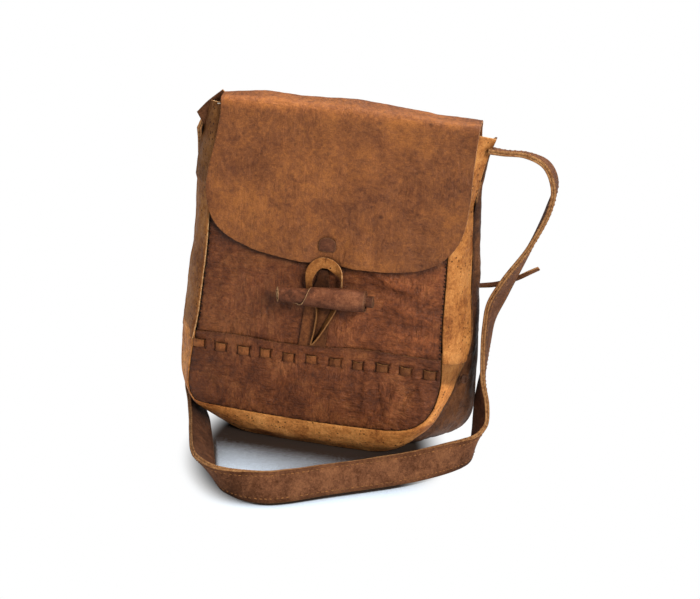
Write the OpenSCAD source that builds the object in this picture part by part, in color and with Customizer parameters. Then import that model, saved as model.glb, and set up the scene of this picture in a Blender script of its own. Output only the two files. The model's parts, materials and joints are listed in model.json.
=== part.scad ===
// Small handmade leather crossbody satchel with a fold-over flap and a loop-and-toggle closure.
// Frame: the bag stands on the floor, z = 0, with its front towards -Y and +X to the right as seen
// from the front. The origin is on the floor at the middle of the base. All sizes are in millimetres.

/* [Body] */
// Height from the floor to the top fold
bag_h = 267; // [255:1:280]
// Thickness of the panel leather
panel_t = 2; // [1.6:0.1:2]
// Thickness of the softer gusset leather
gusset_t = 1.6; // [1.2:0.1:1.8]
// How far the front panel's lower edge is off the floor
front_lift = 28; // [26:1:30]
// Depth of the top strip between its two creases
fold_depth = 20; // [19:0.5:21]

/* [Flap] */
// Length of the flap from its crease to its lowest edge
flap_drop = 111; // [104:1:114]
// How far the flap stands off the front panel
flap_gap = 1; // [0.8:0.1:1.2]

/* [Closure] */
// Length of the rolled toggle
toggle_len = 73; // [66:1:80]
// Radius of the toggle at its thick middle
toggle_r = 9.5; // [8:0.25:9.5]
// Height of the toggle's centre, measured up the front panel
toggle_v = 131; // [129:1:133]
// Lean of the toggle along its length, in degrees
toggle_lean = 5; // [0:1:8]

/* [Lacing] */
// Height of the pocket panel's top edge, measured up the front panel
pocket_v = 90; // [89:0.5:91]
// Distance from one visible stitch of the lace to the next
lace_pitch = 18; // [17:0.25:18]
// Height of the lace
lace_w = 6.8; // [5.5:0.1:7.5]

/* [Strap] */
// Width of the shoulder strap
strap_w = 23; // [20:0.5:23]
// Thickness of each of the strap's two layers
strap_t = 1.9; // [1.4:0.1:1.9]

/* [Hidden] */
$fn = 48;

gap = 0.3;
crease_r = 1;
fold_z = bag_h - crease_r;

// The front and back panels lean towards each other; both leans come from the depths at base and top.
front_foot = -37;
back_foot = 32;
front_crease_y = front_foot + 24;
back_crease_y = front_crease_y + fold_depth;
front_lean = atan((front_crease_y + flap_gap + panel_t - front_foot) / fold_z);
back_lean = atan((back_foot - back_crease_y - crease_r) / fold_z);

// Outlines: [top height, left at top, right at top, left low, right low, base height, left and right corner radius].
front_top = 246;
front_outline = [front_top, -80, 88, -99, 98, front_lift, 16, 32];
middle_outline = [250, -103, 111, -115, 111, gusset_t / 2, 38, 80];
back_outline = [fold_z - 2.4, -88, 107, -108, 117, panel_t, 35, 28];
side_steps = 8;
corner_steps = 10;
base_steps = 6;
last_step = 2 * side_steps + 2 * corner_steps + base_steps;
left_join = 7;
right_join = last_step - 7;

function mix(a, b, t) = a + (b - a) * t;
function unit(v) = v / norm(v);
function arc(c, r, a0, a1, n) = [for (i = [0:n]) c + r * [cos(mix(a0, a1, i / n)), sin(mix(a0, a1, i / n))]];

// Points down the left side of an outline, round its base and up its right side.
function u_path(o) =
    let (left = [o[3], o[5] + o[6]], right = [o[4], o[5] + o[7]])
    concat(
        [for (i = [0:side_steps - 1]) mix([o[1], o[0]], left, i / side_steps)],
        [for (p = arc(left + [o[6], 0], o[6], 180, 270, corner_steps)) p],
        [for (i = [1:base_steps - 1]) mix([o[3] + o[6], o[5]], [o[4] - o[7], o[5]], i / base_steps)],
        [for (p = arc(right - [o[7], 0], o[7], 270, 360, corner_steps)) p],
        [for (i = [1:side_steps]) mix(right, [o[2], o[0]], i / side_steps)]
    );

// Depth of each panel's outer face, and of the middle seam, at a height.
function front_y(z) = front_foot + z * tan(front_lean);
function back_y(z) = back_foot - z * tan(back_lean);
function middle_y(z) = -16 + 22 * (1 - exp(-z / 45));

front_edge = [for (p = u_path(front_outline)) [p[0], front_y(p[1]) + panel_t / 2, p[1]]];
middle_edge = [for (p = u_path(middle_outline)) [p[0], middle_y(p[1]), p[1]]];
back_edge = [for (p = u_path(back_outline)) [p[0], back_y(p[1]) - panel_t / 2, p[1]]];

// A closed solid through a row of four-cornered cross-sections. The two broad sides are split along
// the same diagonal, so that two layers that twist together stay clear of each other.
module ribbon(sections) {
    n = len(sections);
    points = [for (s = sections) each s];
    sides = [for (i = [0:n - 2]) for (k = [0:3])
        let (a = 4 * i + k, b = 4 * i + (k + 1) % 4)
        each k < 2 ? [[a, b, b + 4], [a, b + 4, a + 4]] : [[a, b, a + 4], [b, b + 4, a + 4]]];
    ends = [[0, 3, 2], [0, 2, 1], [4 * n - 4, 4 * n - 3, 4 * n - 2], [4 * n - 4, 4 * n - 2, 4 * n - 1]];
    polyhedron(points, concat(sides, ends), convexity = 8);
}

function tangent(path, i) = unit(path[min(i + 1, len(path) - 1)] - path[max(i - 1, 0)]);

// Cross-sections of a strip of leather from a panel's edge to the middle seam. It stands just outside
// the panel and stops short of both. side is 1 for the front panel and -1 for the back panel.
function strip_sections(panel, seam, from, to, side) = [
    for (i = [from:to])
        let (
            across = unit(seam[i] - panel[i]),
            out = side * unit(cross(across, tangent(panel, i) + tangent(seam, i))),
            p = panel[i] + across * seam_inset + out * (panel_t - gusset_t / 2),
            q = seam[i] - across * seam_inset,
            half = out * gusset_t / 2
        )
        side > 0 ? [p - half, p + half, q + half, q - half] : [q - half, q + half, p + half, p - half]
];

// Cross-sections of a band along a path, given the direction of its width at each point.
function band_sections(path, wide, w, t, off_wide, off_thick) = [
    for (i = [0:len(path) - 1])
        let (
            along = tangent(path, i),
            face = unit(cross(along, wide[i])),
            side = unit(cross(face, along)),
            c = path[i] + side * off_wide + face * off_thick
        )
        [
            c - side * w / 2 - face * t / 2,
            c + side * w / 2 - face * t / 2,
            c + side * w / 2 + face * t / 2,
            c - side * w / 2 + face * t / 2
        ]
];

// Flat pieces on the front or back panel's plane: x across, y up the panel, thickness outwards from d.
module on_front(d) {
    translate([0, front_foot, 0])
        rotate([90 - front_lean, 0, 0])
            translate([0, 0, d])
                children();
}

module on_back(d) {
    translate([0, back_foot, 0])
        rotate([90 + back_lean, 0, 0])
            translate([0, 0, d])
                children();
}

module panel_shape(outline, lean) {
    scale_v = 1 / cos(lean);
    polygon([for (p = u_path(outline)) [p[0], p[1] * scale_v]]);
}

// Panels

module back_panel() {
    color("#4a2e20")
        on_back(0)
            linear_extrude(panel_t)
                panel_shape(back_outline, back_lean);
}

module front_panel() {
    color("#6b3d25")
        on_front(-panel_t)
            linear_extrude(panel_t)
                panel_shape(front_outline, front_lean);
}

module middle_divider() {
    divider_lean = 3.2;
    inset = 7;
    shape = middle_outline + [-12, inset, -inset, inset, -inset, inset, -inset / 2, -inset / 2];
    color("#5a3826")
        translate([0, -9, 0])
            rotate([90 - divider_lean, 0, 0])
                linear_extrude(gusset_t)
                    panel_shape(shape, divider_lean);
}

// The top strip is a flat band with a rounded crease along each long edge, where it hinges.
fold_left = -86;
fold_right = 107;

module flap_fold() {
    color("#9a6238")
        translate([fold_left, front_crease_y, fold_z])
            union() {
                translate([0, 0, -crease_r])
                    cube([fold_right - fold_left, fold_depth, 2 * crease_r]);
                for (y = [0, fold_depth])
                    translate([0, y, 0])
                        rotate([0, 90, 0])
                            cylinder(r = crease_r, h = fold_right - fold_left);
            }
}

flap_d = flap_gap;
flap_top_v = (fold_z - crease_r - gap) / cos(front_lean);
flap_low_v = flap_top_v - flap_drop;

module flap_shape() {
    left_corner = [74, 46];
    right_corner = [46, 40];
    left_x = -91;
    right_x = 105;
    polygon(concat(
        [[-83, flap_top_v], [-88, flap_top_v - 24]],
        [for (a = [180:9:270])
            [left_x + left_corner[0] * (1 + cos(a)), flap_low_v + left_corner[1] * (1 + sin(a))]],
        [for (a = [270:9:360])
            [right_x + right_corner[0] * (cos(a) - 1), flap_low_v + right_corner[1] * (1 + sin(a))]],
        [[107, flap_top_v]]
    ));
}

module flap() {
    color("#96602f")
        on_front(flap_d)
            linear_extrude(panel_t)
                flap_shape();
}

// Pocket panel and the lace that is woven through its slits

pocket_d = 1.5;
pocket_t = 1.5;
lace_t = 1.1;
lace_v = pocket_v - 14;
lace_left = -92;
lace_count = 11;
stitch_len = 7.6;
slit_w = lace_t + 2 * gap;

module pocket_outline() {
    intersection() {
        panel_shape(front_outline, front_lean);
        translate([-150, 0])
            square([300, pocket_v]);
    }
}

module slit(x) {
    translate([x - slit_w / 2, lace_v - lace_w / 2 - gap])
        square([slit_w, lace_w + 2 * gap]);
}

module pocket_panel() {
    color("#65391f")
        on_front(pocket_d)
            linear_extrude(pocket_t)
                difference() {
                    pocket_outline();
                    for (i = [0:lace_count - 1]) {
                        slit(lace_left + i * lace_pitch);
                        slit(lace_left + i * lace_pitch + stitch_len);
                    }
                }
}

// The lace in plan: over the pocket panel for each stitch, behind it between stitches.
module lace_plan() {
    over = pocket_d + pocket_t + gap;
    under = pocket_d - gap - lace_t;
    for (i = [0:lace_count - 1])
        translate([lace_left + i * lace_pitch, 0]) {
            translate([-lace_t / 2, over])
                square([stitch_len + lace_t, lace_t]);
            for (x = [0, stitch_len])
                translate([x - lace_t / 2, under])
                    square([lace_t, over + lace_t - under]);
            if (i < lace_count - 1)
                translate([stitch_len - lace_t / 2, under])
                    square([lace_pitch - stitch_len + lace_t, lace_t]);
        }
}

module lace() {
    color("#a9703e")
        on_front(0)
            translate([0, lace_v + lace_w / 2, 0])
                rotate([90, 0, 0])
                    linear_extrude(lace_w)
                        lace_plan();
}

knot_centre = [115.9, 0, 60];
knot_r = 3.4;

module lace_knot() {
    color("#3b241a")
        translate(knot_centre)
            sphere(r = knot_r);
}

// Gussets: strips sewn from the front panel to the middle seam, and from there to the back panel

seam_inset = 2;

module front_strip(from, to) {
    ribbon(strip_sections(front_edge, middle_edge, from, to, 1));
}

module rear_strip(from, to) {
    ribbon(strip_sections(back_edge, middle_edge, from, to, -1));
}

module front_gusset_left() { color("#b87a42") front_strip(0, left_join); }
module front_gusset_bottom() { color("#b87a42") front_strip(left_join, right_join); }
module front_gusset_right() { color("#b87a42") front_strip(right_join, last_step); }
module rear_gusset_left() { color("#4a2e20") rear_strip(0, left_join); }
module rear_gusset_bottom() { color("#4a2e20") rear_strip(left_join, right_join); }
module rear_gusset_right() { color("#4a2e20") rear_strip(right_join, last_step); }

// Seam threads: one continuous thread along each seam

thread_w = 0.6;

module seam_thread(path) {
    wide = [for (p = path) [0, 1, 0]];
    color("#2b1a12")
        ribbon(band_sections(path, wide, thread_w, thread_w, 0, 0));
}

module front_seam_thread() {
    seam_thread([for (p = front_edge) [p[0], front_y(p[2]) - 0.5, p[2]]]);
}

module middle_seam_thread() {
    seam_thread(middle_edge);
}

module rear_seam_thread() {
    seam_thread([for (p = back_edge) [p[0], back_y(p[2]) + 0.7, p[2]]]);
}

// A loose thong that hangs out of the right rear seam, with a rolled root

thong_root = [115.8, 22.5, 131];
thong_len = 48;
thong_w = 4.6;
thong_t = 1.5;
thong_rise = 28;

module side_thong() {
    color("#7a5334")
        translate(thong_root)
            rotate([0, -thong_rise, 0])
                union() {
                    translate([0, -thong_t / 2, -thong_w / 2])
                        cube([thong_len, thong_t, thong_w]);
                    rotate([90, 0, 0])
                        cylinder(r = thong_w / 2, h = thong_t, center = true);
                }
}

// Closure: a leather loop on the flap goes round the thong that holds the rolled toggle

closure_x = 6;
loop_d = flap_d + panel_t + 0.4;
loop_t = 1.5;
loop_centre = [closure_x - 0.5, 145];
loop_tip = [-0.2, 93.5];
loop_r = 13.5;
loop_tip_r = 5;
loop_w = 6;
loop_hinge = [closure_x - 0.5, 157.4];
loop_hinge_r = 1.05;

// Outline of a large circle and a small one joined by their outer tangents.
function teardrop(big, big_r, small, small_r) =
    let (
        d = big - small,
        up = atan2(d[1], d[0]),
        lean = asin((big_r - small_r) / norm(d))
    )
    concat(
        arc(big, big_r, up - 90 - lean, up + 90 + lean, 20),
        arc(small, small_r, up + 90 + lean, up + 270 - lean, 8)
    );

module closure_loop() {
    color("#b87a42")
        on_front(loop_d)
            union() {
                linear_extrude(loop_t)
                    difference() {
                        polygon(teardrop(loop_centre, loop_r, loop_tip, loop_tip_r));
                        polygon(teardrop(loop_centre, loop_r - loop_w, loop_tip + [0.6, 6], 1.2));
                    }
                translate([loop_hinge[0] - 4, loop_hinge[1], loop_t / 2])
                    rotate([0, 90, 0])
                        cylinder(r = loop_hinge_r, h = 8);
            }
}

// The end of the loop's strip, cut half round, on the flap's outer face.
module loop_stop() {
    stop_r = 7.2;
    stop_v = 171.5;
    color("#5b3a30")
        on_front(flap_d + panel_t + gap)
            intersection() {
                translate([closure_x - 1, stop_v, 0])
                    cylinder(r = stop_r, h = 1.2);
                translate([closure_x - 1 - stop_r, stop_v - 5, 0])
                    cube([2 * stop_r, 2 * stop_r + 5, 1.2]);
            }
}

tab_w = 12;
tab_t = 1.6;
tab_hinge = [1.4, pocket_v + 1.8];
tab_hinge_r = 1.2;
tab_top_v = toggle_v + 8;
thong_r = 2;
running_gap = 0.06;
core_r = 5.2;
toggle_d = loop_d + loop_t + 0.6 + toggle_r;

module toggle_tab() {
    color("#5f3a2c")
        on_front(tab_hinge[0])
            translate([closure_x - tab_w / 2, 0, 0])
                union() {
                    translate([0, tab_hinge[1], -tab_t / 2])
                        cube([tab_w, tab_top_v - tab_hinge[1], tab_t]);
                    translate([0, tab_hinge[1], 0])
                        rotate([0, 90, 0])
                            cylinder(r = tab_hinge_r, h = tab_w);
                }
}

module thong_pin(r) {
    from = tab_hinge[0] + tab_t / 2 + 0.1;
    on_front(from)
        translate([closure_x, toggle_v, 0])
            cylinder(r = r, h = toggle_d + 1.5 - from);
}

module toggle_thong() {
    color("#5f3a2c")
        thong_pin(thong_r);
}

// A round piece along the toggle, from one station to another, measured from its middle.
module toggle_round(r, from, to) {
    on_front(toggle_d)
        translate([closure_x, toggle_v, 0])
            rotate([0, 0, toggle_lean])
                rotate([0, 90, 0])
                    translate([0, 0, from])
                        cylinder(r = r, h = to - from);
}

module toggle_core() {
    color("#6b4438")
        difference() {
            toggle_round(core_r, -toggle_len / 2, toggle_len / 2);
            thong_pin(thong_r + running_gap);
        }
}

// The wrap is rolled on the slant, so it is thickest in the middle and steps down to both ends.
module toggle_wrap() {
    left_end = -toggle_len / 2 + 0.8;
    right_end = toggle_len / 2 - 8;
    color("#6b4438")
        difference() {
            union() {
                toggle_round(toggle_r - 1.5, left_end, right_end);
                toggle_round(toggle_r, -20, 17);
            }
            toggle_round(core_r + running_gap, left_end - 1, right_end + 1);
            thong_pin(thong_r + running_gap);
        }
}

// Strap: a long loop that hangs from the bag's two top corners and lies round it on the floor.
// Each row is a point on the strap's middle line and the direction of its light upper edge.

strap_pivot = [8, 244];
floor_z = strap_w / 2 + 0.3;
strap_rows = [
    [[113.8, strap_pivot[0], strap_pivot[1]], [0, -1, 0]],
    [[125, 8, 246], [0, -1, 0]],
    [[141, 8, 247], [0, -1, 0]],
    [[155, 8, 241], [0, -1, 0]],
    [[162.5, 8, 226], [0, -1, 0]],
    [[160, 8.5, 205], [-0.15, -1, 0]],
    [[149, 9, 176], [-0.5, -0.9, 0]],
    [[137, 9, 150], [-0.6, -0.8, 0]],
    [[128.5, 10, 126], [-0.45, -0.9, 0]],
    [[124.5, 10, 103], [-0.15, -1, 0]],
    [[124, 12, 70], [0.05, -1, 0]],
    [[124.5, 13, 44], [0.3, -0.95, 0.1]],
    [[125.5, 6, 22], [0.35, -0.6, 0.6]],
    [[122, -12, 12.5], [0.1, -0.15, 1]],
    [[105, -34, floor_z], [0, 0, 1]],
    [[76, -60, floor_z], [0, 0, 1]],
    [[30, -92, floor_z], [0, 0, 1]],
    [[-10, -119, floor_z], [0, 0, 1]],
    [[-39, -119, floor_z], [0, 0, 1]],
    [[-62, -92, floor_z], [0, 0, 1]],
    [[-88, -52, floor_z], [0, 0, 1]],
    [[-109, -24, floor_z], [0, 0, 1]],
    [[-118.5, 4, 15], [0, -0.25, 1]],
    [[-119, 26, 36], [0, -0.8, 0.6]],
    [[-116.8, 36, 76], [0, -1, 0.1]],
    [[-112.8, 35, 140], [0, -1, -0.1]],
    [[-109, 25, 200], [0, -1, -0.2]],
    [[-107, strap_pivot[0], strap_pivot[1]], [0, -1, -0.2]]
];
strap_steps = 6;

function curve(a, b, c, d, t) =
    0.5 * (2 * b + (c - a) * t + (2 * a - 5 * b + 4 * c - d) * t * t + (3 * b - a - 3 * c + d) * t * t * t);

function smooth_rows(rows, column) =
    let (last = len(rows) - 1)
    concat(
        [for (i = [0:last - 1], s = [0:strap_steps - 1])
            curve(
                rows[max(i - 1, 0)][column],
                rows[i][column],
                rows[i + 1][column],
                rows[min(i + 2, last)][column],
                s / strap_steps
            )],
        [rows[last][column]]
    );

strap_line = smooth_rows(strap_rows, 0);
strap_wide = smooth_rows(strap_rows, 1);

module strap_layer(w, t, off_wide, off_thick) {
    ribbon(band_sections(strap_line, strap_wide, w, t, off_wide, off_thick));
}

module strap_outer() {
    color("#7d4f30")
        strap_layer(strap_w, strap_t, 0, -strap_t / 2 - 0.1);
}

module strap_lining() {
    color("#5b3a26")
        strap_layer(strap_w, strap_t, 0, strap_t / 2 + 0.1);
}

// Two rows of stitching on the outer layer, each one continuous thread.
module strap_thread() {
    row = strap_w / 2 - 2.6;
    color("#b8763a")
        union() {
            strap_layer(thread_w, thread_w, -row, -strap_t - gap - thread_w / 2);
            strap_layer(thread_w, thread_w, row, -strap_t - gap - thread_w / 2);
        }
}

// The strap's square-cut end stands out of the top left corner, held by a whipped thread.

tab_y = 1;

module strap_tab_left() {
    color("#8a6a4c")
        translate([0, tab_y + strap_t, 0])
            rotate([90, 0, 0])
                linear_extrude(strap_t)
                    polygon([[-96, 268], [-104, 252.5], [-84, 252.5], [-84, 262]]);
}

module anchor_thread() {
    color("#d9cdb8")
        translate([-95, tab_y - 0.8, 259])
            rotate([0, 100, 0])
                cylinder(r = 0.6, h = 10);
}

back_panel();
flap_fold();
flap();
front_panel();
pocket_panel();
middle_divider();
front_gusset_left();
front_gusset_bottom();
front_gusset_right();
rear_gusset_left();
rear_gusset_bottom();
rear_gusset_right();
front_seam_thread();
middle_seam_thread();
rear_seam_thread();
lace();
lace_knot();
side_thong();
closure_loop();
loop_stop();
toggle_core();
toggle_wrap();
toggle_tab();
toggle_thong();
strap_tab_left();
anchor_thread();
strap_outer();
strap_lining();
strap_thread();
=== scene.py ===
import json
import math

import bpy
import numpy as np
from mathutils import Matrix, Vector, noise


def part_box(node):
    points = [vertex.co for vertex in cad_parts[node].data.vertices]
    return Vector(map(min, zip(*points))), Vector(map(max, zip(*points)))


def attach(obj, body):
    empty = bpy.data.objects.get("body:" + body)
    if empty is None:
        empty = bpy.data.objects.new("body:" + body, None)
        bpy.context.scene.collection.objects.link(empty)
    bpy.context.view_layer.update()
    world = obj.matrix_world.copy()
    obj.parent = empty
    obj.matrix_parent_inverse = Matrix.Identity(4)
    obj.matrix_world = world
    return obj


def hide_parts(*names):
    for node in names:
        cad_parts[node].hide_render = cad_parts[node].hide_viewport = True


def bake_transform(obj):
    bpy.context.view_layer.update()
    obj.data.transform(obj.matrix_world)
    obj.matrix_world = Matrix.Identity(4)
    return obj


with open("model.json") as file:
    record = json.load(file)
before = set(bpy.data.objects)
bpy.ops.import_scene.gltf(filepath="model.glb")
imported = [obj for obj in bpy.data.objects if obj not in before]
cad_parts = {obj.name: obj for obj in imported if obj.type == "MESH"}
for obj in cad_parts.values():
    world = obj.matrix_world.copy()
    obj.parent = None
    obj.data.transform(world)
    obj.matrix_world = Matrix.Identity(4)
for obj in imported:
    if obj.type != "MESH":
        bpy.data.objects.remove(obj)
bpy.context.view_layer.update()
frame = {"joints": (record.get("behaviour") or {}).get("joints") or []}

# Lengths are in millimetres until make_mesh(), which turns them into metres.
MM = 0.001


# ---- the frame's driving places

def box_mm(node):
    low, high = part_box(node)
    return np.array(low) / MM, np.array(high) / MM


joint_at = {j["name"]: np.array(j["pos_m"]) / MM for j in frame["joints"]}

# Thicknesses of the leathers.
PANEL_T = 2.0
GUSSET_T = 1.6
POCKET_T = 1.5

panel_low, panel_high = box_mm("front_panel")
FRONT_LEAN = math.atan2(panel_high[1] - PANEL_T - panel_low[1], panel_high[2] - panel_low[2])
FRONT_FOOT = panel_low[1] - panel_low[2] * math.tan(FRONT_LEAN)
front_normal = np.array([0, -math.cos(FRONT_LEAN), math.sin(FRONT_LEAN)])

back_low, back_high = box_mm("back_panel")
BACK_LEAN = math.atan2(back_high[1] - PANEL_T - back_low[1], back_high[2] - back_low[2])
BACK_FOOT = back_high[1] + back_low[2] * math.tan(BACK_LEAN)

TOP_Z = box_mm("flap_fold")[1][2]


# ---- curves and grids

def unit(v):
    return v / np.maximum(np.linalg.norm(v, axis=-1, keepdims=True), 1e-9)


def smoothstep(a, b, x):
    t = np.clip((x - a) / (b - a), 0, 1)
    return t * t * (3 - 2 * t)


def spline(points, count):
    """Evenly spaced points along a smooth curve through the given ones."""
    p = np.array(points, float)
    far = np.vstack([2 * p[0] - p[1], p, 2 * p[-1] - p[-2]])
    t = np.linspace(0, 1, 24, endpoint=False)[:, None]
    runs = []
    for a, b, c, d in zip(far, far[1:], far[2:], far[3:]):
        runs.append(0.5 * (2 * b + (c - a) * t + (2 * a - 5 * b + 4 * c - d) * t**2
                           + (3 * b - a - 3 * c + d) * t**3))
    return evenly(np.vstack(runs + [p[-1:]]), count)


def lengths(path):
    return np.r_[0, np.cumsum(np.linalg.norm(np.diff(path, axis=0), axis=1))]


def evenly(path, count):
    run = lengths(path)
    s = np.linspace(0, run[-1], count)
    return np.stack([np.interp(s, run, path[:, k]) for k in range(path.shape[1])], 1)


def patch(top, bottom, left, right):
    """A grid that fills the space between four edge curves; left and right run from top to bottom."""
    v = np.linspace(0, 1, len(left))[:, None, None]
    u = np.linspace(0, 1, len(top))[None, :, None]
    corners = ((1 - u) * (1 - v) * top[0] + u * (1 - v) * top[-1]
               + (1 - u) * v * bottom[0] + u * v * bottom[-1])
    return (1 - v) * top[None] + v * bottom[None] + (1 - u) * left[:, None] + u * right[:, None] - corners


def plane(a, b):
    """Points that lie flat, from their two coordinates."""
    return np.stack([a, b, 0 * a], -1)


def bell(value, middle, reach, power=2):
    """A soft hump: 1 at the middle, falling to nothing a few times the reach away."""
    return np.exp(-(((value - middle) / reach) ** power))


def fbm(points, size, seed, octaves=3):
    """Smooth random values of about -1..1; size is the width of its largest features in millimetres."""
    flat = np.asarray(points, float).reshape(-1, 3) / size + seed * 17.3
    values = [noise.fractal(Vector(p), 0.9, 2.1, octaves) for p in flat]
    return np.array(values).reshape(np.shape(points)[:-1])


def ridges(x, z, rows):
    """Long soft folds: each row is a centre, a direction in degrees, a length, a width and a height."""
    total = np.zeros(np.shape(x))
    for cx, cz, angle, length, width, height in rows:
        a = math.radians(angle)
        along = (x - cx) * math.cos(a) + (z - cz) * math.sin(a)
        across = (z - cz) * math.cos(a) - (x - cx) * math.sin(a)
        across = across + 2.0 * np.sin(along / length * 2 + cx)
        total = total + height * np.exp(-(along / length) ** 2 - (across / width) ** 2)
    return total


def creases(x, z, angle, spacing, stretch, seed):
    """Fine sharp creases that run in one direction, as a depth of 0..1."""
    a = math.radians(angle)
    along = x * math.cos(a) + z * math.sin(a)
    across = z * math.cos(a) - x * math.sin(a)
    at = np.stack([along / stretch, across / spacing, np.zeros(np.shape(x))], -1)
    at[..., 1] += fbm(plane(x, z), 26, seed + 3) * 1.4
    return np.clip(1 - np.abs(fbm(at, 1, seed, 2)) * 5, 0, 1)


# ---- mesh builders

def make_mesh(name, verts, faces, values):
    """An object from points in millimetres, its faces and the values each point carries for its material."""
    mesh = bpy.data.meshes.new(name)
    mesh.from_pydata((np.asarray(verts) * MM).tolist(), [], [tuple(f) for f in faces])
    mesh.shade_smooth()
    rest = mesh.attributes.new("rest", "FLOAT_VECTOR", "POINT")
    rest.data.foreach_set("vector", np.asarray(verts, np.float32).ravel())
    for key, value in values.items():
        layer = mesh.attributes.new(key, "FLOAT", "POINT")
        layer.data.foreach_set("value", np.asarray(value, np.float32).ravel())
    piece = bpy.data.objects.new(name, mesh)
    bpy.context.scene.collection.objects.link(piece)
    return piece


def grid_faces(n, m):
    i, j = np.meshgrid(np.arange(n - 1), np.arange(m - 1), indexing="ij")
    a = i * m + j
    return np.stack([a, a + m, a + m + 1, a + 1], -1).reshape(-1, 4)


def with_border(grid):
    """Adds a ring close to each edge, so that the cut edge stays crisp."""
    keep = 0.22
    near = grid[0] + (grid[1] - grid[0]) * keep
    far = grid[-1] + (grid[-2] - grid[-1]) * keep
    grid = np.concatenate([grid[:1], near[None], grid[1:-1], far[None], grid[-1:]])
    near = grid[:, :1] + (grid[:, 1:2] - grid[:, :1]) * keep
    far = grid[:, -1:] + (grid[:, -2:-1] - grid[:, -1:]) * keep
    return np.concatenate([grid[:, :1], near, grid[:, 1:-1], far, grid[:, -1:]], 1)


def sheet(name, grid, thick, crease=0.0, dark=0.0, outside=None, joined_start=False, joined_end=False,
          raw=1.0, soft=0.38):
    """A sheet of leather on a grid of middle points, with a softened cut edge. crease is painted light and
    shade:
    it darkens a point where it is above 0 and brightens it where it is below. dark darkens it, as painted
    shade on some pieces and as darker leather on others. outside is a point that the outer face looks away
    from.
    joined_start and joined_end leave that row square, to meet another piece. raw is how strongly the cut edge
    shows in its own colour; soft is how much thinner the sheet is at its edges."""
    extra = [np.broadcast_to(v, grid.shape[:2]) for v in (crease, dark, raw)]
    stacked = with_border(np.concatenate([grid] + [v[..., None] for v in extra], -1))
    grid, crease, dark, raw = stacked[..., :3], stacked[..., 3], stacked[..., 4], stacked[..., 5]
    n, m = grid.shape[:2]
    normal = unit(np.cross(np.gradient(grid, axis=0), np.gradient(grid, axis=1)))
    turned = outside is not None and np.sum((grid - outside) * normal) <= 0
    if turned:
        normal = -normal
    rim = np.zeros((n, m))
    rim[:, 0] = rim[:, -1] = 1
    if not joined_start:
        rim[0, :] = 1
    if not joined_end:
        rim[-1, :] = 1
    half = thick / 2 * (1 - soft * rim)[..., None]
    verts = np.concatenate([(grid + normal * half).reshape(-1, 3), (grid - normal * half).reshape(-1, 3)])
    outer = grid_faces(n, m)
    ring = np.r_[np.arange(m), np.arange(1, n) * m + m - 1,
                 (n - 1) * m + np.arange(m - 2, -1, -1), np.arange(n - 2, 0, -1) * m]
    following = np.roll(ring, -1)
    wall = np.stack([ring, following, following + n * m, ring + n * m], 1)
    if turned:
        outer, wall = outer[:, ::-1], wall[:, ::-1]
    faces = np.concatenate([outer, outer[:, ::-1] + n * m, wall]).tolist()
    down = np.cumsum(np.linalg.norm(np.diff(grid, axis=0, prepend=grid[:1]), axis=2), axis=0)
    over = np.cumsum(np.linalg.norm(np.diff(grid, axis=1, prepend=grid[:, :1]), axis=2), axis=1)
    edge = np.minimum(over, over[:, -1:] - over)
    if not joined_start:
        edge = np.minimum(edge, down)
    if not joined_end:
        edge = np.minimum(edge, down[-1:] - down)
    values = {
        "edge": np.tile(edge.ravel(), 2),
        "rim": np.tile((rim * raw).ravel(), 2),
        "cut": np.tile(raw.ravel(), 2),
        "crease": np.concatenate([crease.ravel(), -crease.ravel()]),
        "dark": np.tile(dark.ravel(), 2),
    }
    piece = make_mesh(name, verts, faces, values)
    if joined_start:
        sharp = piece.data.attributes.new("sharp_edge", "BOOLEAN", "EDGE")
        first = {v + side for v in range(m) for side in (0, n * m)}
        sharp.data.foreach_set("value", [e.vertices[0] in first and e.vertices[1] in first
                                         for e in piece.data.edges])
    return piece


def frames_along(path, wide):
    """Tangent, face normal and width direction at each point of a path."""
    along = unit(np.gradient(path, axis=0))
    face = unit(np.cross(along, wide))
    return along, face, np.cross(face, along)


def band_grid(path, wide, width, lift=0.0, columns=9):
    """A flat band along a path. width may vary along it; lift moves it along its face."""
    _, face, side = frames_along(path, wide)
    width = np.broadcast_to(width, len(path))
    across = np.linspace(-0.5, 0.5, columns)[None, :, None] * width[:, None, None]
    return path[:, None] + side[:, None] * across + face[:, None] * np.broadcast_to(
        lift, len(path))[:, None, None]


def stitches(name, lines, pitch, length, radius, seed, proud=0.35, skew=0.0):
    """Rows of separate thread stitches that dip into the leather at both ends. Each line is a path and the
    direction its stitches stand up in; proud lifts them and skew turns them across the line."""
    rng = np.random.default_rng(seed)
    parts = [stitch_row(path, up, pitch, length, radius, rng, proud, skew) for path, up in lines]
    verts = np.concatenate([part[0] for part in parts])
    firsts = np.cumsum([0] + [len(part[0]) for part in parts])
    faces = [[v + int(first) for v in f] for first, part in zip(firsts, parts) for f in part[1]]
    values = {key: np.concatenate([part[2][key] for part in parts]) for key in parts[0][2]}
    return make_mesh(name, verts, faces, values)


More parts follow.
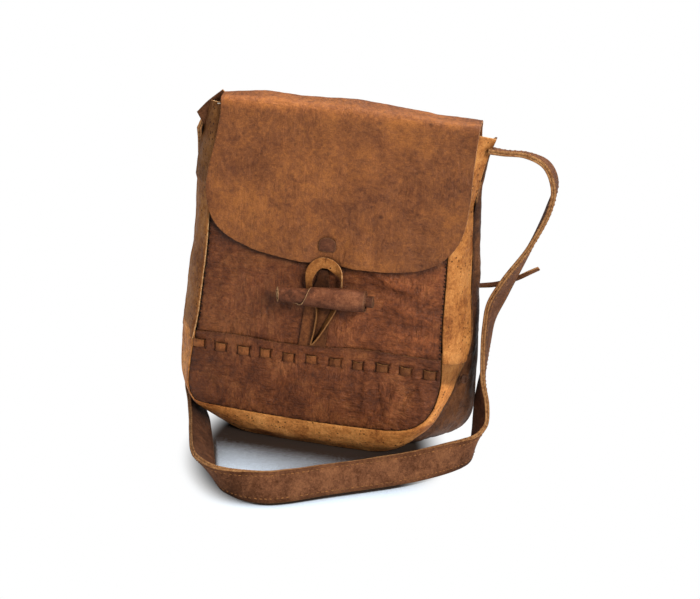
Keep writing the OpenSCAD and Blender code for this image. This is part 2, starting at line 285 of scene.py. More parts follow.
def stitch_row(path, up, pitch, length, radius, rng, proud, skew):
    """One row of stitches, as points, faces and the values that the thread's material reads."""
    run = lengths(path)
    at = np.arange(pitch / 2, run[-1] - length / 2, pitch)
    at = at + rng.uniform(-0.12, 0.12, len(at)) * pitch
    along = unit(np.gradient(path, axis=0))

    def sample(rows):
        return np.stack([np.interp(at, run, rows[:, k]) for k in range(3)], 1)

    centre, tangent = sample(path), unit(sample(along))
    up = unit(sample(np.broadcast_to(up, path.shape)))
    side = unit(np.cross(up, tangent))
    tangent = unit(tangent + side * (skew + rng.uniform(-0.12, 0.12, (len(at), 1))))
    side = unit(np.cross(up, tangent))
    rings, sides = 7, 8
    s = np.linspace(-1, 1, rings)
    turn = np.linspace(0, 2 * math.pi, sides, endpoint=False)
    fat = np.sqrt(np.clip(1.02 - s**2, 0.02, 1))
    ring_l = np.repeat(s * length / 2, sides)
    ring_w = (radius * fat[:, None] * np.cos(turn)).ravel()
    ring_h = (radius * fat[:, None] * np.sin(turn) + radius * (proud - 1.5 * s[:, None] ** 4)).ravel()
    verts = sum(axis[:, None] * reach[None, :, None]
                for axis, reach in ((tangent, ring_l), (side, ring_w), (up, ring_h))) + centre[:, None]
    one = []
    for k in range(rings - 1):
        for c in range(sides):
            d = (c + 1) % sides
            one.append([k * sides + c, k * sides + d, (k + 1) * sides + d, (k + 1) * sides + c])
    one += [list(range(sides))[::-1], list(range((rings - 1) * sides, rings * sides))]
    faces = [[v + i * rings * sides for v in face] for i in range(len(at)) for face in one]
    values = {"dark": np.repeat(rng.uniform(0, 1, len(at)), rings * sides),
              "along": np.tile(ring_l, len(at)),
              "across": np.tile(turn, rings * len(at))}
    return verts.reshape(-1, 3), faces, values


# ---- materials

def tone(text, gain=1.0):
    """A display colour such as "8a5430" as linear light."""
    c = [int(text[k:k + 2], 16) / 255 for k in (0, 2, 4)]
    return [gain * (v / 12.92 if v < 0.04045 else ((v + 0.055) / 1.055) ** 2.4) for v in c] + [1.0]


def add(tree, kind, inputs, **settings):
    """A new node. inputs, by name or number, are values or other nodes' outputs."""
    made = tree.nodes.new(kind)
    for key, value in settings.items():
        setattr(made, key, value)
    feed(tree, made, inputs)
    return made


def feed(tree, node, inputs):
    for socket, value in inputs.items():
        if isinstance(value, bpy.types.NodeSocket):
            tree.links.new(value, node.inputs[socket])
        else:
            node.inputs[socket].default_value = value


def ramp(tree, value, stops):
    """A colour ramp through (place, colour or grey) stops."""
    made = add(tree, "ShaderNodeValToRGB", {0: value})
    elements = made.color_ramp.elements
    while len(elements) < len(stops):
        elements.new(0.5)
    for element, (place, colour) in zip(elements, stops):
        element.position = place
        element.color = colour if isinstance(colour, (list, tuple)) else [colour] * 3 + [1.0]
    return made.outputs["Color"]


class Shader:
    """Short calls for building one material's node tree."""

    def __init__(self, name):
        self.material = bpy.data.materials.new(name)
        self.material.use_nodes = True
        self.tree = self.material.node_tree
        self.rest = self.attribute("rest", "Vector")

    def add(self, kind, inputs, **settings):
        return add(self.tree, kind, inputs, **settings)

    def attribute(self, name, output="Fac"):
        return self.add("ShaderNodeAttribute", {}, attribute_name=name).outputs[output]

    def math(self, kind, a, b=0.0, clamp=False):
        return self.add("ShaderNodeMath", {0: a, 1: b}, operation=kind, use_clamp=clamp).outputs[0]

    def stretched(self, scale):
        return self.add("ShaderNodeVectorMath", {0: self.rest, 1: scale}, operation="MULTIPLY").outputs[0]

    def noise(self, size, detail=3.0, rough=0.55, vector=None, distortion=0.0):
        return self.add("ShaderNodeTexNoise", {
            "Vector": vector or self.rest, "Scale": 1.0 / size, "Detail": detail, "Roughness": rough,
            "Distortion": distortion}).outputs["Fac"]

    def cells(self, size, feature="F1"):
        return self.add("ShaderNodeTexVoronoi", {"Vector": self.rest, "Scale": 1.0 / size},
                        feature=feature).outputs["Distance"]

    def step(self, value, a, b, low=0.0, high=1.0):
        return self.add("ShaderNodeMapRange", {0: value, 1: a, 2: b, 3: low, 4: high},
                        interpolation_type="SMOOTHSTEP").outputs[0]

    def mix(self, amount, a, b):
        return self.add("ShaderNodeMix", {0: amount, 6: a, 7: b}, data_type="RGBA").outputs[2]

    def multiply(self, colour, value, stops, amount=1.0):
        """A colour multiplied by a ramp through stops, or by a value where there are none."""
        by = ramp(self.tree, value, stops) if stops else value
        return self.add("ShaderNodeMix", {0: amount, 6: colour, 7: by}, data_type="RGBA",
                        blend_type="MULTIPLY").outputs[2]

    def bump(self, height, distance, strength, under=None):
        made = self.add("ShaderNodeBump", {"Height": height, "Distance": distance * MM, "Strength": strength})
        if under is not None:
            feed(self.tree, made, {"Normal": under})
        return made.outputs["Normal"]

    def finish(self, colour, roughness, normal, specular, sheen=0.0):
        feed(self.tree, self.tree.nodes["Principled BSDF"], {
            "Base Color": colour, "Roughness": roughness, "Normal": normal, "Specular IOR Level": specular,
            "Sheen Weight": sheen, "Sheen Roughness": 0.5})
        return self.material


def leather(name, tones, blotch, fleck, rim, rim_dark="5a3420", pores=0.0, pore_size=5.0, rough=0.6, nap=0.0,
            specular=0.25, edge_dark=0.35, lined=0.0, spots=0.0, raw_width=0.0):
    """Worn leather: three tones in blotches and flecks, grain, pores and a raw cut edge, with painted light
    and
    shade: the crease value darkens and brightens it, and it darkens where other surfaces are close; the dark
    value darkens it too. blotch, fleck and pore_size are feature sizes in millimetres. lined adds fine
    creases that run level and upright, with painted shade in them and painted light between; spots adds a few
    dark stains; nap adds suede's fibres; edge_dark is painted shade close to an edge; raw_width is how far
    the cut edge's colour reaches onto the face."""
    s = Shader(name)
    large = s.noise(blotch, 2.5, 0.6, distortion=0.4)
    middling = s.noise(blotch / 3.2, 7.0, 0.72, distortion=1.1)
    small = s.noise(fleck, 6.0, 0.78, distortion=0.6)
    value = s.math("ADD", s.math("MULTIPLY", large, 0.36), s.math("MULTIPLY", middling, 0.26))
    value = s.math("ADD", value, s.math("MULTIPLY", small, 0.38))
    low, middle, high = (tone(t) for t in tones)
    colour = ramp(s.tree, value, [(0.415, low), (0.5, middle), (0.595, high)])
    colour = s.multiply(colour, s.noise(0.8, 4.0, 0.8), [(0.3, 0.66), (0.5, 1.0), (0.7, 1.28)])
    # The crease value is painted light and shade: above 0 it darkens the colour, below 0 it brightens it.
    painted_light_and_shade = s.attribute("crease")
    colour = s.mix(s.step(painted_light_and_shade, 0.0, 1.0, 0.0, 0.7), colour, tone(tones[0], 0.55))
    colour = s.multiply(colour, s.step(painted_light_and_shade, 0.0, -1.2, 1.0, 1.62), None)
    if spots:
        stain = s.step(s.cells(26), 0.035, 0.085, 1.0, 0.0)
        colour = s.mix(s.math("MULTIPLY", stain, spots), colour, tone(tones[0], 0.35))
    if pores:
        spot = s.step(s.cells(pore_size), 0.13, 0.29, 1.0, 0.0)
        where = s.step(s.noise(15, 2.0), 0.45, 0.55)
        colour = s.mix(s.math("MULTIPLY", s.math("MULTIPLY", spot, where), pores), colour,
                       tone(tones[0], 0.3))
    # Painted shade close to a cut edge.
    near = s.step(s.attribute("edge"), 0.4, 4.5, edge_dark, 0.0)
    colour = s.mix(near, colour, tone(tones[0], 0.55))
    # The dark value darkens the colour: painted shade on some pieces, darker leather on others.
    colour = s.mix(s.math("MULTIPLY", s.attribute("dark"), 0.92, clamp=True), colour, tone(tones[0], 0.16))
    raw = ramp(s.tree, s.noise(2.2, 4.0, 0.7), [(0.35, tone(rim_dark)), (0.62, tone(rim))])
    shown = s.step(s.attribute("rim"), 0.15, 0.7)
    if raw_width:
        band = s.step(s.attribute("edge"), raw_width * 0.6, raw_width, 1.0, 0.0)
        shown = s.math("MAXIMUM", shown, s.math("MULTIPLY", band, s.attribute("cut")))
    colour = s.mix(shown, colour, raw)
    # Painted shade: the colour darkens where other surfaces are close, in recesses and under overhangs.
    painted_occlusion = s.add("ShaderNodeAmbientOcclusion", {"Distance": 12 * MM}, samples=6)
    colour = s.multiply(colour, painted_occlusion.outputs["AO"], [(0.15, 0.3), (0.85, 1.0)])
    grain = s.step(s.cells(0.95, "DISTANCE_TO_EDGE"), 0.0, 0.22)
    normal = s.bump(grain, 0.09, 0.5)
    normal = s.bump(s.noise(2.6, 5.0, 0.62), 0.9, 0.6, normal)
    # Fine creases in the bump, with painted shade in them and painted light between.
    if lined:
        level = s.noise(2.4, 4.0, 0.66, vector=s.stretched((0.2, 1, 1)), distortion=0.8)
        upright = s.noise(3.0, 4.0, 0.66, vector=s.stretched((1, 1, 0.22)), distortion=0.8)
        where = s.step(s.noise(32, 2.0), 0.4, 0.6)
        lines = s.mix(where, level, upright)
        normal = s.bump(lines, 2.6, lined, normal)
        colour = s.multiply(colour, lines, [(0.36, 0.84), (0.5, 1.0), (0.64, 1.13)], lined)
    if nap:
        fibres = s.noise(1.0, 3.0, 0.8, s.stretched((0.9, 0.9, 2.4)))
        normal = s.bump(fibres, 0.3, nap, normal)
        colour = s.multiply(colour, fibres, [(0.3, 0.62), (0.5, 1.0), (0.7, 1.35)], nap)
    roughness = s.step(s.noise(9, 4.0, 0.6), 0.3, 0.7, rough - 0.09, min(rough + 0.12, 1.0))
    return s.finish(colour, roughness, normal, specular, 0.04 * nap)


def thread(name, dark, light):
    """Twisted thread: a fine diagonal ply with darker gaps, painted shade between the strands."""
    s = Shader(name)
    ply = s.math("SINE", s.math("ADD", s.math("MULTIPLY", s.attribute("along"), 7.0),
                                s.attribute("across")))
    colour = s.mix(s.step(ply, -1.0, 0.6), tone(dark), tone(light))
    colour = s.multiply(colour, s.attribute("dark"), [(0.0, 0.7), (1.0, 1.2)])
    normal = s.bump(ply, 0.12, 0.8)
    normal = s.bump(s.noise(0.35, 3.0, 0.7), 0.06, 0.6, normal)
    return s.finish(colour, s.step(s.noise(1.5), 0.3, 0.7, 0.55, 0.8), normal, 0.25)


LEATHERS = {
    "flap_leather": dict(tones=("61351b", "814c27", "9d602e"), blotch=46, fleck=3.4, pores=0.3, pore_size=6.0,
                         rim="c08c5c", edge_dark=0.14, spots=0.5, lined=0.55),
    "panel_leather": dict(tones=("552b15", "753f20", "935830"), blotch=38, fleck=4, pores=0.3, rim="8a5a34",
                          rough=0.46, specular=0.24, lined=0.9),
    "rear_leather": dict(tones=("3a1f11", "56341d", "734829"), blotch=30, fleck=5, pores=0.3, rim="a07040",
                         lined=0.5),
    "gusset_leather": dict(tones=("7e4923", "ab6e38", "c6894c"), blotch=26, fleck=3, pores=1.0, pore_size=3.4,
                           rim="d3a674", rim_dark="8a5830", specular=0.12, edge_dark=0.16, lined=0.35),
    "strap_suede": dict(tones=("4a2b18", "66402a", "835638"), blotch=16, fleck=1.8, rim="a87c50",
                        rim_dark="74492a", rough=0.85, nap=0.6, specular=0.08),
    "toggle_leather": dict(tones=("4a2817", "6c3e27", "8a5638"), blotch=14, fleck=3, rim="c0986c",
                           rim_dark="805636", specular=0.2, raw_width=0.8),
    "lace_leather": dict(tones=("5f351c", "8b522c", "a4683a"), blotch=22, fleck=3, pores=0.4, rim="a87844",
                         rim_dark="5a361c", specular=0.15),
}
THREADS = {"seam_thread": ("120a06", "2c1a10"), "strap_thread": ("5c3418", "9c6836"),
           "white_thread": ("a89880", "efe8da")}
materials = {name: leather(name, **looks) for name, looks in LEATHERS.items()}
materials.update({name: thread(name, dark, light) for name, (dark, light) in THREADS.items()})


def place(piece, slot, node, body, more=()):
    """Gives a piece its material, hides the CAD node it stands for and any more nodes, and hangs it on its
    body if it has one.
    """
    piece.data.materials.append(materials[slot])
    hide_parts(node, *more)
    if body:
        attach(piece, body)


def skin(node, slot, body, grid, thick, more=(), **looks):
    """A sheet of leather that stands for a CAD node and rides on a body."""
    piece = sheet(node + "_skin", grid, thick, **looks)
    place(piece, slot, node, body, more)
    return piece


def blend(piece):
    """Bakes a piece's placement into its points."""
    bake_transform(piece)


# ---- the bag's shape

def front(x, z, d):
    """A point at a height on the front panel's outer face, moved outwards by d."""
    x, z, d = np.broadcast_arrays(x, z, d)
    y = FRONT_FOOT + z * math.tan(FRONT_LEAN)
    return np.stack([x, y, z], -1) + front_normal * d[..., None]


def swell(x, z):
    """How far the filled front of the bag stands out from its flat plane."""
    wide = np.clip(1 - ((x - 2) / 99) ** 2, 0, 1)
    tall = np.clip(1 - ((z - 132) / 108) ** 2, 0, 1)
    return 3.2 * wide**0.8 * tall**0.8


def middle_y(z):
    """The depth of the middle seam at a height: further forward at the base."""
    return -16 + 22 * (1 - np.exp(-np.maximum(z, 0) / 45))


def back_y(z):
    """The back panel's outer face at a height."""
    return BACK_FOOT - z * math.tan(BACK_LEAN)


# Each seam is one smooth curve, given as across and height from its top left end, round the base, to its
# top right end. Its marks are the left join, the base's two ends and the right join.
FRONT_SEAM = [
    (-82, 246), (-87, 190), (-88.5, 150), (-92.3, 100), (-96, 70), (-97.6, 50), (-96.8, 40), (-92.5, 32.2),
    (-84, 29.6), (-50, 28.4), (-8, 27.8), (40, 28.6), (64, 30), (78, 34), (88, 42), (94, 54), (96.7, 68),
    (96.7, 80), (95, 100), (94, 120), (93.5, 150), (92.5, 190), (91.5, 246),
]
FRONT_MARKS = [(-94, 86), (-88, 30.5), (78, 34), (96, 96)]
MIDDLE_SEAM = [
    (-95, 259), (-98.5, 244), (-102, 225), (-104.2, 205), (-105.2, 185), (-105.4, 165), (-106.4, 148),
    (-109, 132), (-110.4, 114), (-111.8, 90), (-113, 66), (-113, 49), (-110.6, 36), (-104.5, 24),
    (-93.5, 16.4), (-80, 9.6), (-66, 4.2), (-50, 1.4), (-20, 0.8), (20, 0.8), (44, 1.4), (57, 3.4),
    (68, 8.5), (80, 18.5), (90, 31), (97.6, 47), (102.5, 62), (106.6, 74.5), (109.6, 86), (111.2, 98),
    (110.2, 112), (108.2, 128), (107.2, 146), (106.4, 165), (105.2, 180), (104.8, 192), (105.8, 204),
    (107.2, 216), (109, 227), (111.6, 237), (114.2, 245), (117.4, 254),
]
MIDDLE_MARKS = [(-112, 86), (-91, 15), (68, 8.5), (110.4, 89.4)]
BACK_SEAM = [
    (-88, 261), (-93, 205), (-98, 150), (-103, 100), (-106.5, 55), (-107, 36), (-102, 17), (-90, 6),
    (-72, 2.2), (-30, 2), (10, 2), (50, 2), (86, 2.2), (103, 6), (112.5, 17), (116.5, 36), (116.3, 62),
    (114.5, 105), (112, 150), (109.5, 205), (107, 261),
]
BACK_MARKS = [(-104, 88), (-92, 7.5), (98, 4.4), (115, 92)]
# How many steps each seam has before, between and after its marks.
PARTS = (78, 34, 92, 34, 78)


def divided(points, marks):
    """A seam split at its marks, with the same number of points in every seam's parts."""
    line = spline(points, 2400)
    at = [0] + [int(np.argmin(np.linalg.norm(line - mark, axis=1))) for mark in marks] + [len(line) - 1]
    parts = [evenly(line[a:b + 1], count + 1)[:-1] for a, b, count in zip(at, at[1:], PARTS)]
    return np.vstack(parts + [line[-1:]])


def seam(points, marks, depth):
    line = divided(points, marks)
    return np.stack([line[:, 0], depth(line[:, 1]), line[:, 1]], 1)


def rim_curves(points, marks, down, over):
    """A seam as the left, lower and right edges of a panel; the side edges run downwards."""
    line = divided(points, marks)
    low, high = PARTS[0] + PARTS[1], PARTS[0] + PARTS[1] + PARTS[2]
    return evenly(line[:low + 1], down), evenly(line[low:high + 1], over), evenly(line[high:][::-1], down)


def front_depth(z):
    """The middle of the front panel's leather at a height."""
    return FRONT_FOOT + z * math.tan(FRONT_LEAN) + PANEL_T / 2


def back_depth(z):
    return back_y(z) - PANEL_T / 2


front_line = seam(FRONT_SEAM, FRONT_MARKS, front_depth)
middle_line = seam(MIDDLE_SEAM, MIDDLE_MARKS, middle_y)
back_line = seam(BACK_SEAM, BACK_MARKS, back_depth)


# ---- front panel and pocket

# Folds of the two front leathers: centre, direction in degrees, length, width and height of each.
FRONT_FOLDS = [
    (52, 148, -28, 26, 3.2, 1.3), (60, 136, -18, 24, 2.6, -1.0), (70, 124, -8, 22, 2.4, 0.9),
    (66, 113, -4, 24, 2.0, -0.8), (72, 104, 2, 24, 2.2, 0.8), (-55, 135, 62, 22, 8, 1.0),
    (-30, 118, 30, 22, 7, -1.0), (-72, 112, 80, 20, 6, 0.9), (28, 112, 40, 12, 3, 0.8),
    (-12, 148, -6, 20, 4, 0.9),
]
POCKET_FOLDS = [
    (40, 52, 78, 17, 2.6, 0.9), (52, 50, 96, 16, 2.4, -0.9), (63, 54, 84, 18, 2.2, 1.0),
    (74, 56, 70, 14, 2.4, -0.9), (84, 60, 98, 14, 2.4, 0.8), (20, 44, 88, 12, 4, 0.7),
    (-20, 48, 60, 14, 5, -0.8), (-62, 56, 42, 16, 4, 0.8), (-80, 46, 120, 12, 3.4, -0.8),
    (8, 60, 20, 24, 5, 0.6), (-44, 60, 75, 14, 4, 0.6),
]


def front_relief(x, z, folds, seed):
    """Soft folds, low waves and fine creases of the front leather: a height, and painted light and shade that
    darkens its fine creases and the folds' hollows and lightens the folds' ridges. The fine creases run
    nearly level at the right and upright at the left."""
    at = plane(x, z)
    fold = ridges(x, z, folds)
    waves = 0.75 * fbm(at, 30, seed) + 0.22 * fbm(at, 7, seed + 1)
    right = smoothstep(-10, 70, x)
    level = creases(x, z, -8, 3.6, 26, seed + 2)
    upright = creases(x, z, 75, 4.4, 26, seed + 5)
    fine = level * right + upright * (1 - right) * 0.7
    height = 1.9 * fold + 1.5 * waves - 0.6 * fine
    return height, 0.6 * fine - 0.4 * fold


# The flap's outline as across and height, from its top left corner, round its lower edge, to the top right.
FLAP_EDGE = [
    (-83.5, 256), (-86.5, 234), (-90.6, 212), (-91.4, 199), (-90, 188), (-86.6, 179), (-81, 171.5),
    (-74, 166.4), (-64, 161.6), (-54, 158.4), (-42, 155.9), (-28, 154.2), (-10, 153.4), (8, 153.2),
    (30, 153), (48, 153.2), (62, 154.6), (75, 157.4), (86, 162.6), (95, 170.4), (101.6, 181), (105, 194),
    (106.4, 212), (106.6, 232), (107.4, 252),
]
FLAP_CORNERS = [(-74, 166.4), (86, 162.6)]


def edge_gap(x, z, line):
    """The distance to a line given as across and height."""
    return np.min(np.hypot(x[..., None] - line[:, 0], z[..., None] - line[:, -1]), -1)


FLAT_BEHIND = (0, 20, 130)
SEAM_DEPTH = 0.9
panel_left, panel_base, panel_right = rim_curves(FRONT_SEAM, FRONT_MARKS, 170, 150)
top_edge = spline([tuple(panel_left[0]), (-30, 244), (30, 243.5), tuple(panel_right[0])], 150)
panel_flat = patch(top_edge, panel_base, panel_left, panel_right)
px, pz = panel_flat[..., 0], panel_flat[..., 1]
height, painted_shading = front_relief(px, pz, FRONT_FOLDS, 1)
# Relief only away from the side seams, and less of it behind the flap; the stitching pulls the edge in.
inside = np.clip(1 - bell(px, -99, 12) - bell(px, 98, 12), 0, 1)
under_flap = 1 - 0.7 * smoothstep(150, 175, pz)
seam_gap = edge_gap(px, pz, front_line[::4])
panel_out = swell(px, pz) - PANEL_T / 2 + height * inside * under_flap - SEAM_DEPTH * bell(seam_gap, 0, 3.5)
# Painted shade at the left, in the seam's groove, under the flap's edge and below the toggle; painted light
# at the right.
under_edge = edge_gap(px, pz, spline(FLAP_EDGE, 90))
below_toggle = bell(px, -4, 36, 6) * bell(pz + 0.06 * px, 119, 4.5)
panel_dark = (0.23 * smoothstep(10, -60, px) + 0.5 * bell(seam_gap, 0, 1.3)
              + 0.62 * bell(under_edge, 1.5, 3.4) * (pz < 175) + 0.3 * below_toggle)
painted_shading = painted_shading - 0.5 * smoothstep(-10, 60, px)
skin("front_panel", "panel_leather", "bag", front(px, pz, panel_out), PANEL_T, crease=painted_shading,
     dark=panel_dark, outside=FLAT_BEHIND)

# The pocket panel lies on the front panel below the lace. Its top edge rises and falls a little.
lace_low, lace_high = box_mm("lace")
LACE_COUNT = 11
LACE_PITCH = 18.0
LACE_LONG = 7.6
LACE_TALL = 6.2
# How far the lace and its line of slits rise along their length.
LACE_RISE = [(-100, 1.5), (-60, 0.2), (-20, 0.8), (10, 1.3), (40, 2.8), (62, 2.5), (95, 1.0)]
POCKET_LEFT_TOP, POCKET_RIGHT_TOP = 86.5, 90
POCKET_TOP = [(-80, 87.6), (-60, 88.2), (-30, 87.2), (0, 88), (30, 90.8), (46, 91), (70, 90.2)]
lace_z = (lace_low[2] + lace_high[2]) / 2
lace_x = lace_low[0] - 2.8 + LACE_PITCH * np.arange(LACE_COUNT)


def lace_height(x):
    return lace_z + np.interp(x, *zip(*LACE_RISE))


wide_left, wide_base, wide_right = rim_curves(FRONT_SEAM, FRONT_MARKS, 900, 260)
pocket_left = evenly(wide_left[wide_left[:, 1] <= POCKET_LEFT_TOP], 80)
pocket_right = evenly(wide_right[wide_right[:, 1] <= POCKET_RIGHT_TOP], 80)
pocket_flat = patch(spline([tuple(pocket_left[0])] + POCKET_TOP + [tuple(pocket_right[0])], 260),
                    wide_base, pocket_left, pocket_right)
px, pz = pocket_flat[..., 0], pocket_flat[..., 1]
height, painted_shading = front_relief(px, pz, POCKET_FOLDS, 9)
inside = np.clip(1 - bell(px, -99, 10) - bell(px, 98, 10), 0, 1)
# A bowed slit at both ends of each stitch of the lace, which also puckers the leather round it.
slit = np.zeros(px.shape)
pucker = np.zeros(px.shape)
rng = np.random.default_rng(4)
lace_long = LACE_LONG * rng.uniform(0.88, 1.1, LACE_COUNT)
lace_drop = rng.uniform(-0.7, 0.7, LACE_COUNT)
for start, long, drop in zip(lace_x, lace_long, lace_drop):
    off = pz - lace_height(start) - drop
    for end, bowed in ((0, 1.1), (long, -1.1)):
        beside = px - start - end + bowed * (off / 4) ** 2
        slit = np.maximum(slit, bell(beside, 0, 1.15) * (np.abs(off) < LACE_TALL / 2 + 1.1))
    pucker += bell(px, start + long / 2, 6.5) * bell(off, 0, 5)
seam_gap = edge_gap(px, pz, front_line[::4])
pocket_out = (swell(px, pz) + 1.0 + 0.8 * height * inside - 1.3 * slit - pucker
              - SEAM_DEPTH * bell(seam_gap, 0, 3.0))
# A little darker all over, with painted shade in the slits, round the puckers, in the seam's groove and
# towards the left.
pocket_dark = np.maximum(slit, 0.05 + 0.24 * smoothstep(-30, -85, px) + 0.22 * np.clip(pucker - 0.35, 0, 1)
                         + 0.6 * bell(seam_gap, 0, 1.4))
skin("pocket_panel", "panel_leather", "bag", front(px, pz, pocket_out), POCKET_T, crease=painted_shading,
     dark=pocket_dark, outside=FLAT_BEHIND)

# The lace goes over the pocket panel for each stitch and behind it between stitches.
LACE_T = 1.1
BETWEEN = 12.8
lace_points = []
for x, long, drop in zip(lace_x, lace_long, lace_drop):
    height = lace_height(x) + drop
    for step, d in ((-0.2, 0.1), (0.4, 1.9), (1.6, 2.5), (long / 2, 3.1), (long - 1.6, 2.5),
                    (long - 0.4, 1.9), (long + 0.2, 0.1)):
        lace_points.append(front(x + step, height, d + swell(x + step, height) - LACE_T / 2))
    behind = x + BETWEEN
    lace_points.append(front(behind, lace_height(behind), -0.5 + swell(behind, height)))
lace_path = spline(lace_points[:-1], 900)
lace_tall = LACE_TALL + 0.5 * np.sin(lace_path[:, 0] * 0.31)
lace_grid = band_grid(lace_path, np.array([0, 0, 1.0]), lace_tall, columns=9)
lace_dark = 0.5 * smoothstep(0, 60, lace_grid[..., 0])
skin("lace", "lace_leather", "bag", lace_grid, LACE_T, dark=lace_dark, outside=FLAT_BEHIND)


# ---- gussets

BAG_CENTRE = np.array([5.0, 0.0, 120.0])
FLOOR_GAP = 0.9
GUSSET_COLUMNS = 24


def gusset(first, second, start, end, bulge, seed, flange=2.0, folds=0.7):
    """A strip of leather between two seams, from one place along them to another, bulging outwards
    and turned up at its second seam. Returns its grid and the outward direction of each row."""
    a, b = first[start:end], second[start:end]
    across = unit(b - a)
    out = unit(np.cross(across, unit(np.gradient(a, axis=0)) + unit(np.gradient(b, axis=0))))
    out = out * np.sign(np.sum(out * (a - BAG_CENTRE)))
    t = np.linspace(0, 1, GUSSET_COLUMNS)[None, :, None]
    grid = a[:, None] + (b - a)[:, None] * t
    arch = np.clip(np.sin(np.pi * t), 0, 1) ** 0.75
    bulge = np.broadcast_to(bulge, len(a))[:, None, None]
    grid = grid + out[:, None] * (bulge * arch + flange * smoothstep(0.84, 1.0, t))
    relief = folds * fbm(grid, 22, seed) + 0.25 * fbm(grid, 5, seed + 1)
    grid = grid + out[:, None] * (relief * np.clip(4 * arch[..., 0], 0, 1))[..., None]
    return grid, out


# The rows along the seams where the gussets' three strips meet.
left_join = PARTS[0]
right_join = sum(PARTS[:4])
last = len(front_line)

# Front edge of the front gusset: just outside the front panel and a little proud of it. Its ends reach up
# behind the flap, above the panel's own top edge.
outward = unit(np.stack([front_line[:, 0] * 0.9, 0 * front_line[:, 0], front_line[:, 2] - 130], 1))
reach_up = smoothstep(205, 246, front_line[:, 2])
raised_z = front_line[:, 2] + 15 * reach_up
raised = np.stack([front_line[:, 0], front_depth(raised_z), raised_z], 1)
front_gusset_line = raised + outward * 0.9 + front_normal * (1.3 - 2.6 * reach_up)[:, None]

for node, start, end, bulge, seed in (
        ("front_gusset_left", 0, left_join + 5, 2.6, 21),
        ("front_gusset_bottom", left_join, right_join + 1, 3.4, 22),
        ("front_gusset_right", right_join - 4, last, 3.6, 23)):
    rows = end - start
    row = np.arange(rows)
    # The strips are drawn in at the bag's lower left corner.
    if node == "front_gusset_left":
        bulge = bulge - 2.2 * smoothstep(rows - 6, rows, row)
    if node == "front_gusset_bottom":
        bulge = bulge - 2.6 * smoothstep(46, 20, row) * smoothstep(0, 12, row)
    grid, out = gusset(front_gusset_line, middle_line, start, end, bulge, seed, flange=1.2)
    height = grid[..., 2]
    painted_light, dark, push = (np.zeros(height.shape) for _ in range(3))
    if node == "front_gusset_right":
        # A dent below the strap's root, with painted shade in it; the lower end lies over the bottom strip.
        near_middle = smoothstep(0.15, 0.75, np.linspace(0, 1, GUSSET_COLUMNS))[None]
        push -= 1.8 * bell(height, 202, 8) * near_middle
        push += smoothstep(14, 0, row)[:, None]
        # Painted light brightens the whole strip a little.
        painted_light += 0.25
        dark += 0.3 * bell(height, 200, 7) * near_middle
    if node == "front_gusset_left":
        # A darker end piece laps over the top of the strip, and the lower end over the bottom strip.
        lapped = 1 - smoothstep(201, 197.5, height)
        push += 1.2 * lapped
        push += smoothstep(rows - 14, rows, row)[:, None]
        # Painted shade darkens the whole strip; the end piece is darker leather still.
        dark += 0.27 + 0.33 * lapped
    if node == "front_gusset_bottom":
        # Painted light makes this the lightest strip, apart from a darker part beside its right join.
        joint_patch = smoothstep(rows - 14, rows - 11, row)[:, None]
        dark += 0.46 * joint_patch
        painted_light += 1.15 * (1 - joint_patch)
    grid = grid + out[:, None] * push[..., None]
    grid[..., 2] = np.maximum(grid[..., 2], FLOOR_GAP)
    raw = np.linspace(0.9 if node == "front_gusset_left" else 0.25, 0.9, GUSSET_COLUMNS)[None]
    skin(node, "gusset_leather", "bag", grid, GUSSET_T, crease=-painted_light, dark=dark, outside=BAG_CENTRE,
         raw=raw)

# The rear gusset stops short of the top strip.
rear_z = back_line[:, 2] - 13 * smoothstep(222, 261, back_line[:, 2])
rear_line = np.stack([back_line[:, 0], back_depth(rear_z), rear_z], 1)
for node, start, end, bulge, seed in (
        ("rear_gusset_left", 0, left_join + 3, 2.5, 31),
        ("rear_gusset_bottom", left_join, right_join + 1, 1.0, 32),
        ("rear_gusset_right", right_join - 3, last, 2.5, 33)):
    grid, out = gusset(rear_line, middle_line + [0, 1.7, 0], start, end, bulge, seed, folds=1.1)
    # Upright wrinkles at the lower right, with painted light and shade that follow them.
    low_right = smoothstep(110, 60, grid[..., 2]) * smoothstep(60, 90, grid[..., 0])
    wrinkle = fbm(grid * [0.3, 1.0, 0.16], 4.5, 35, 2) * low_right
    grid = grid + out[:, None] * wrinkle[..., None]
    grid[..., 2] = np.maximum(grid[..., 2], FLOOR_GAP)
    skin(node, "rear_leather", "bag", grid, GUSSET_T, crease=0.3 * wrinkle, outside=BAG_CENTRE)


# ---- back panel, top strip and flap

# The flap's middle line is this far outside the front panel's outer face.
FLAP_OFF = 2.2


def profile():
    """The flap leather's middle line from the base of the back, over the top, to the flap's lower edge,
    as depth and height, with the place of the front crease as distance 0."""
    top = TOP_Z - PANEL_T / 2
    r_back, r_front = 3.0, 4.2
    back_top = top - r_back
    long_run, bend = 80, 12
    rise = np.array([[back_depth(z), z] for z in np.linspace(2, back_top, long_run)])
    turn = np.linspace(0, math.pi / 2, bend)[1:]
    over_back = np.stack([rise[-1, 0] - r_back + r_back * np.cos(turn), back_top + r_back * np.sin(turn)], 1)
    bend_y = FRONT_FOOT + (top - r_front) * math.tan(FRONT_LEAN) - FLAP_OFF + r_front
    level = np.array([[y, top] for y in np.linspace(over_back[-1, 0], bend_y, bend)[1:]])
    turn = np.linspace(math.pi / 2, math.pi, bend)[1:]
    over_front = np.stack([bend_y + r_front * np.cos(turn), top - r_front + r_front * np.sin(turn)], 1)
    low_z = 100.0
    low = np.array([FRONT_FOOT + low_z * math.tan(FRONT_LEAN) - FLAP_OFF, low_z])
    fall = evenly(np.stack([over_front[-1], low]), long_run)[1:]
    path = np.vstack([rise, over_back, level, over_front, fall])
    far = lengths(path)
    crease = far[long_run + 2 * (bend - 1) + (bend - 1) // 2]
    return path, far - crease


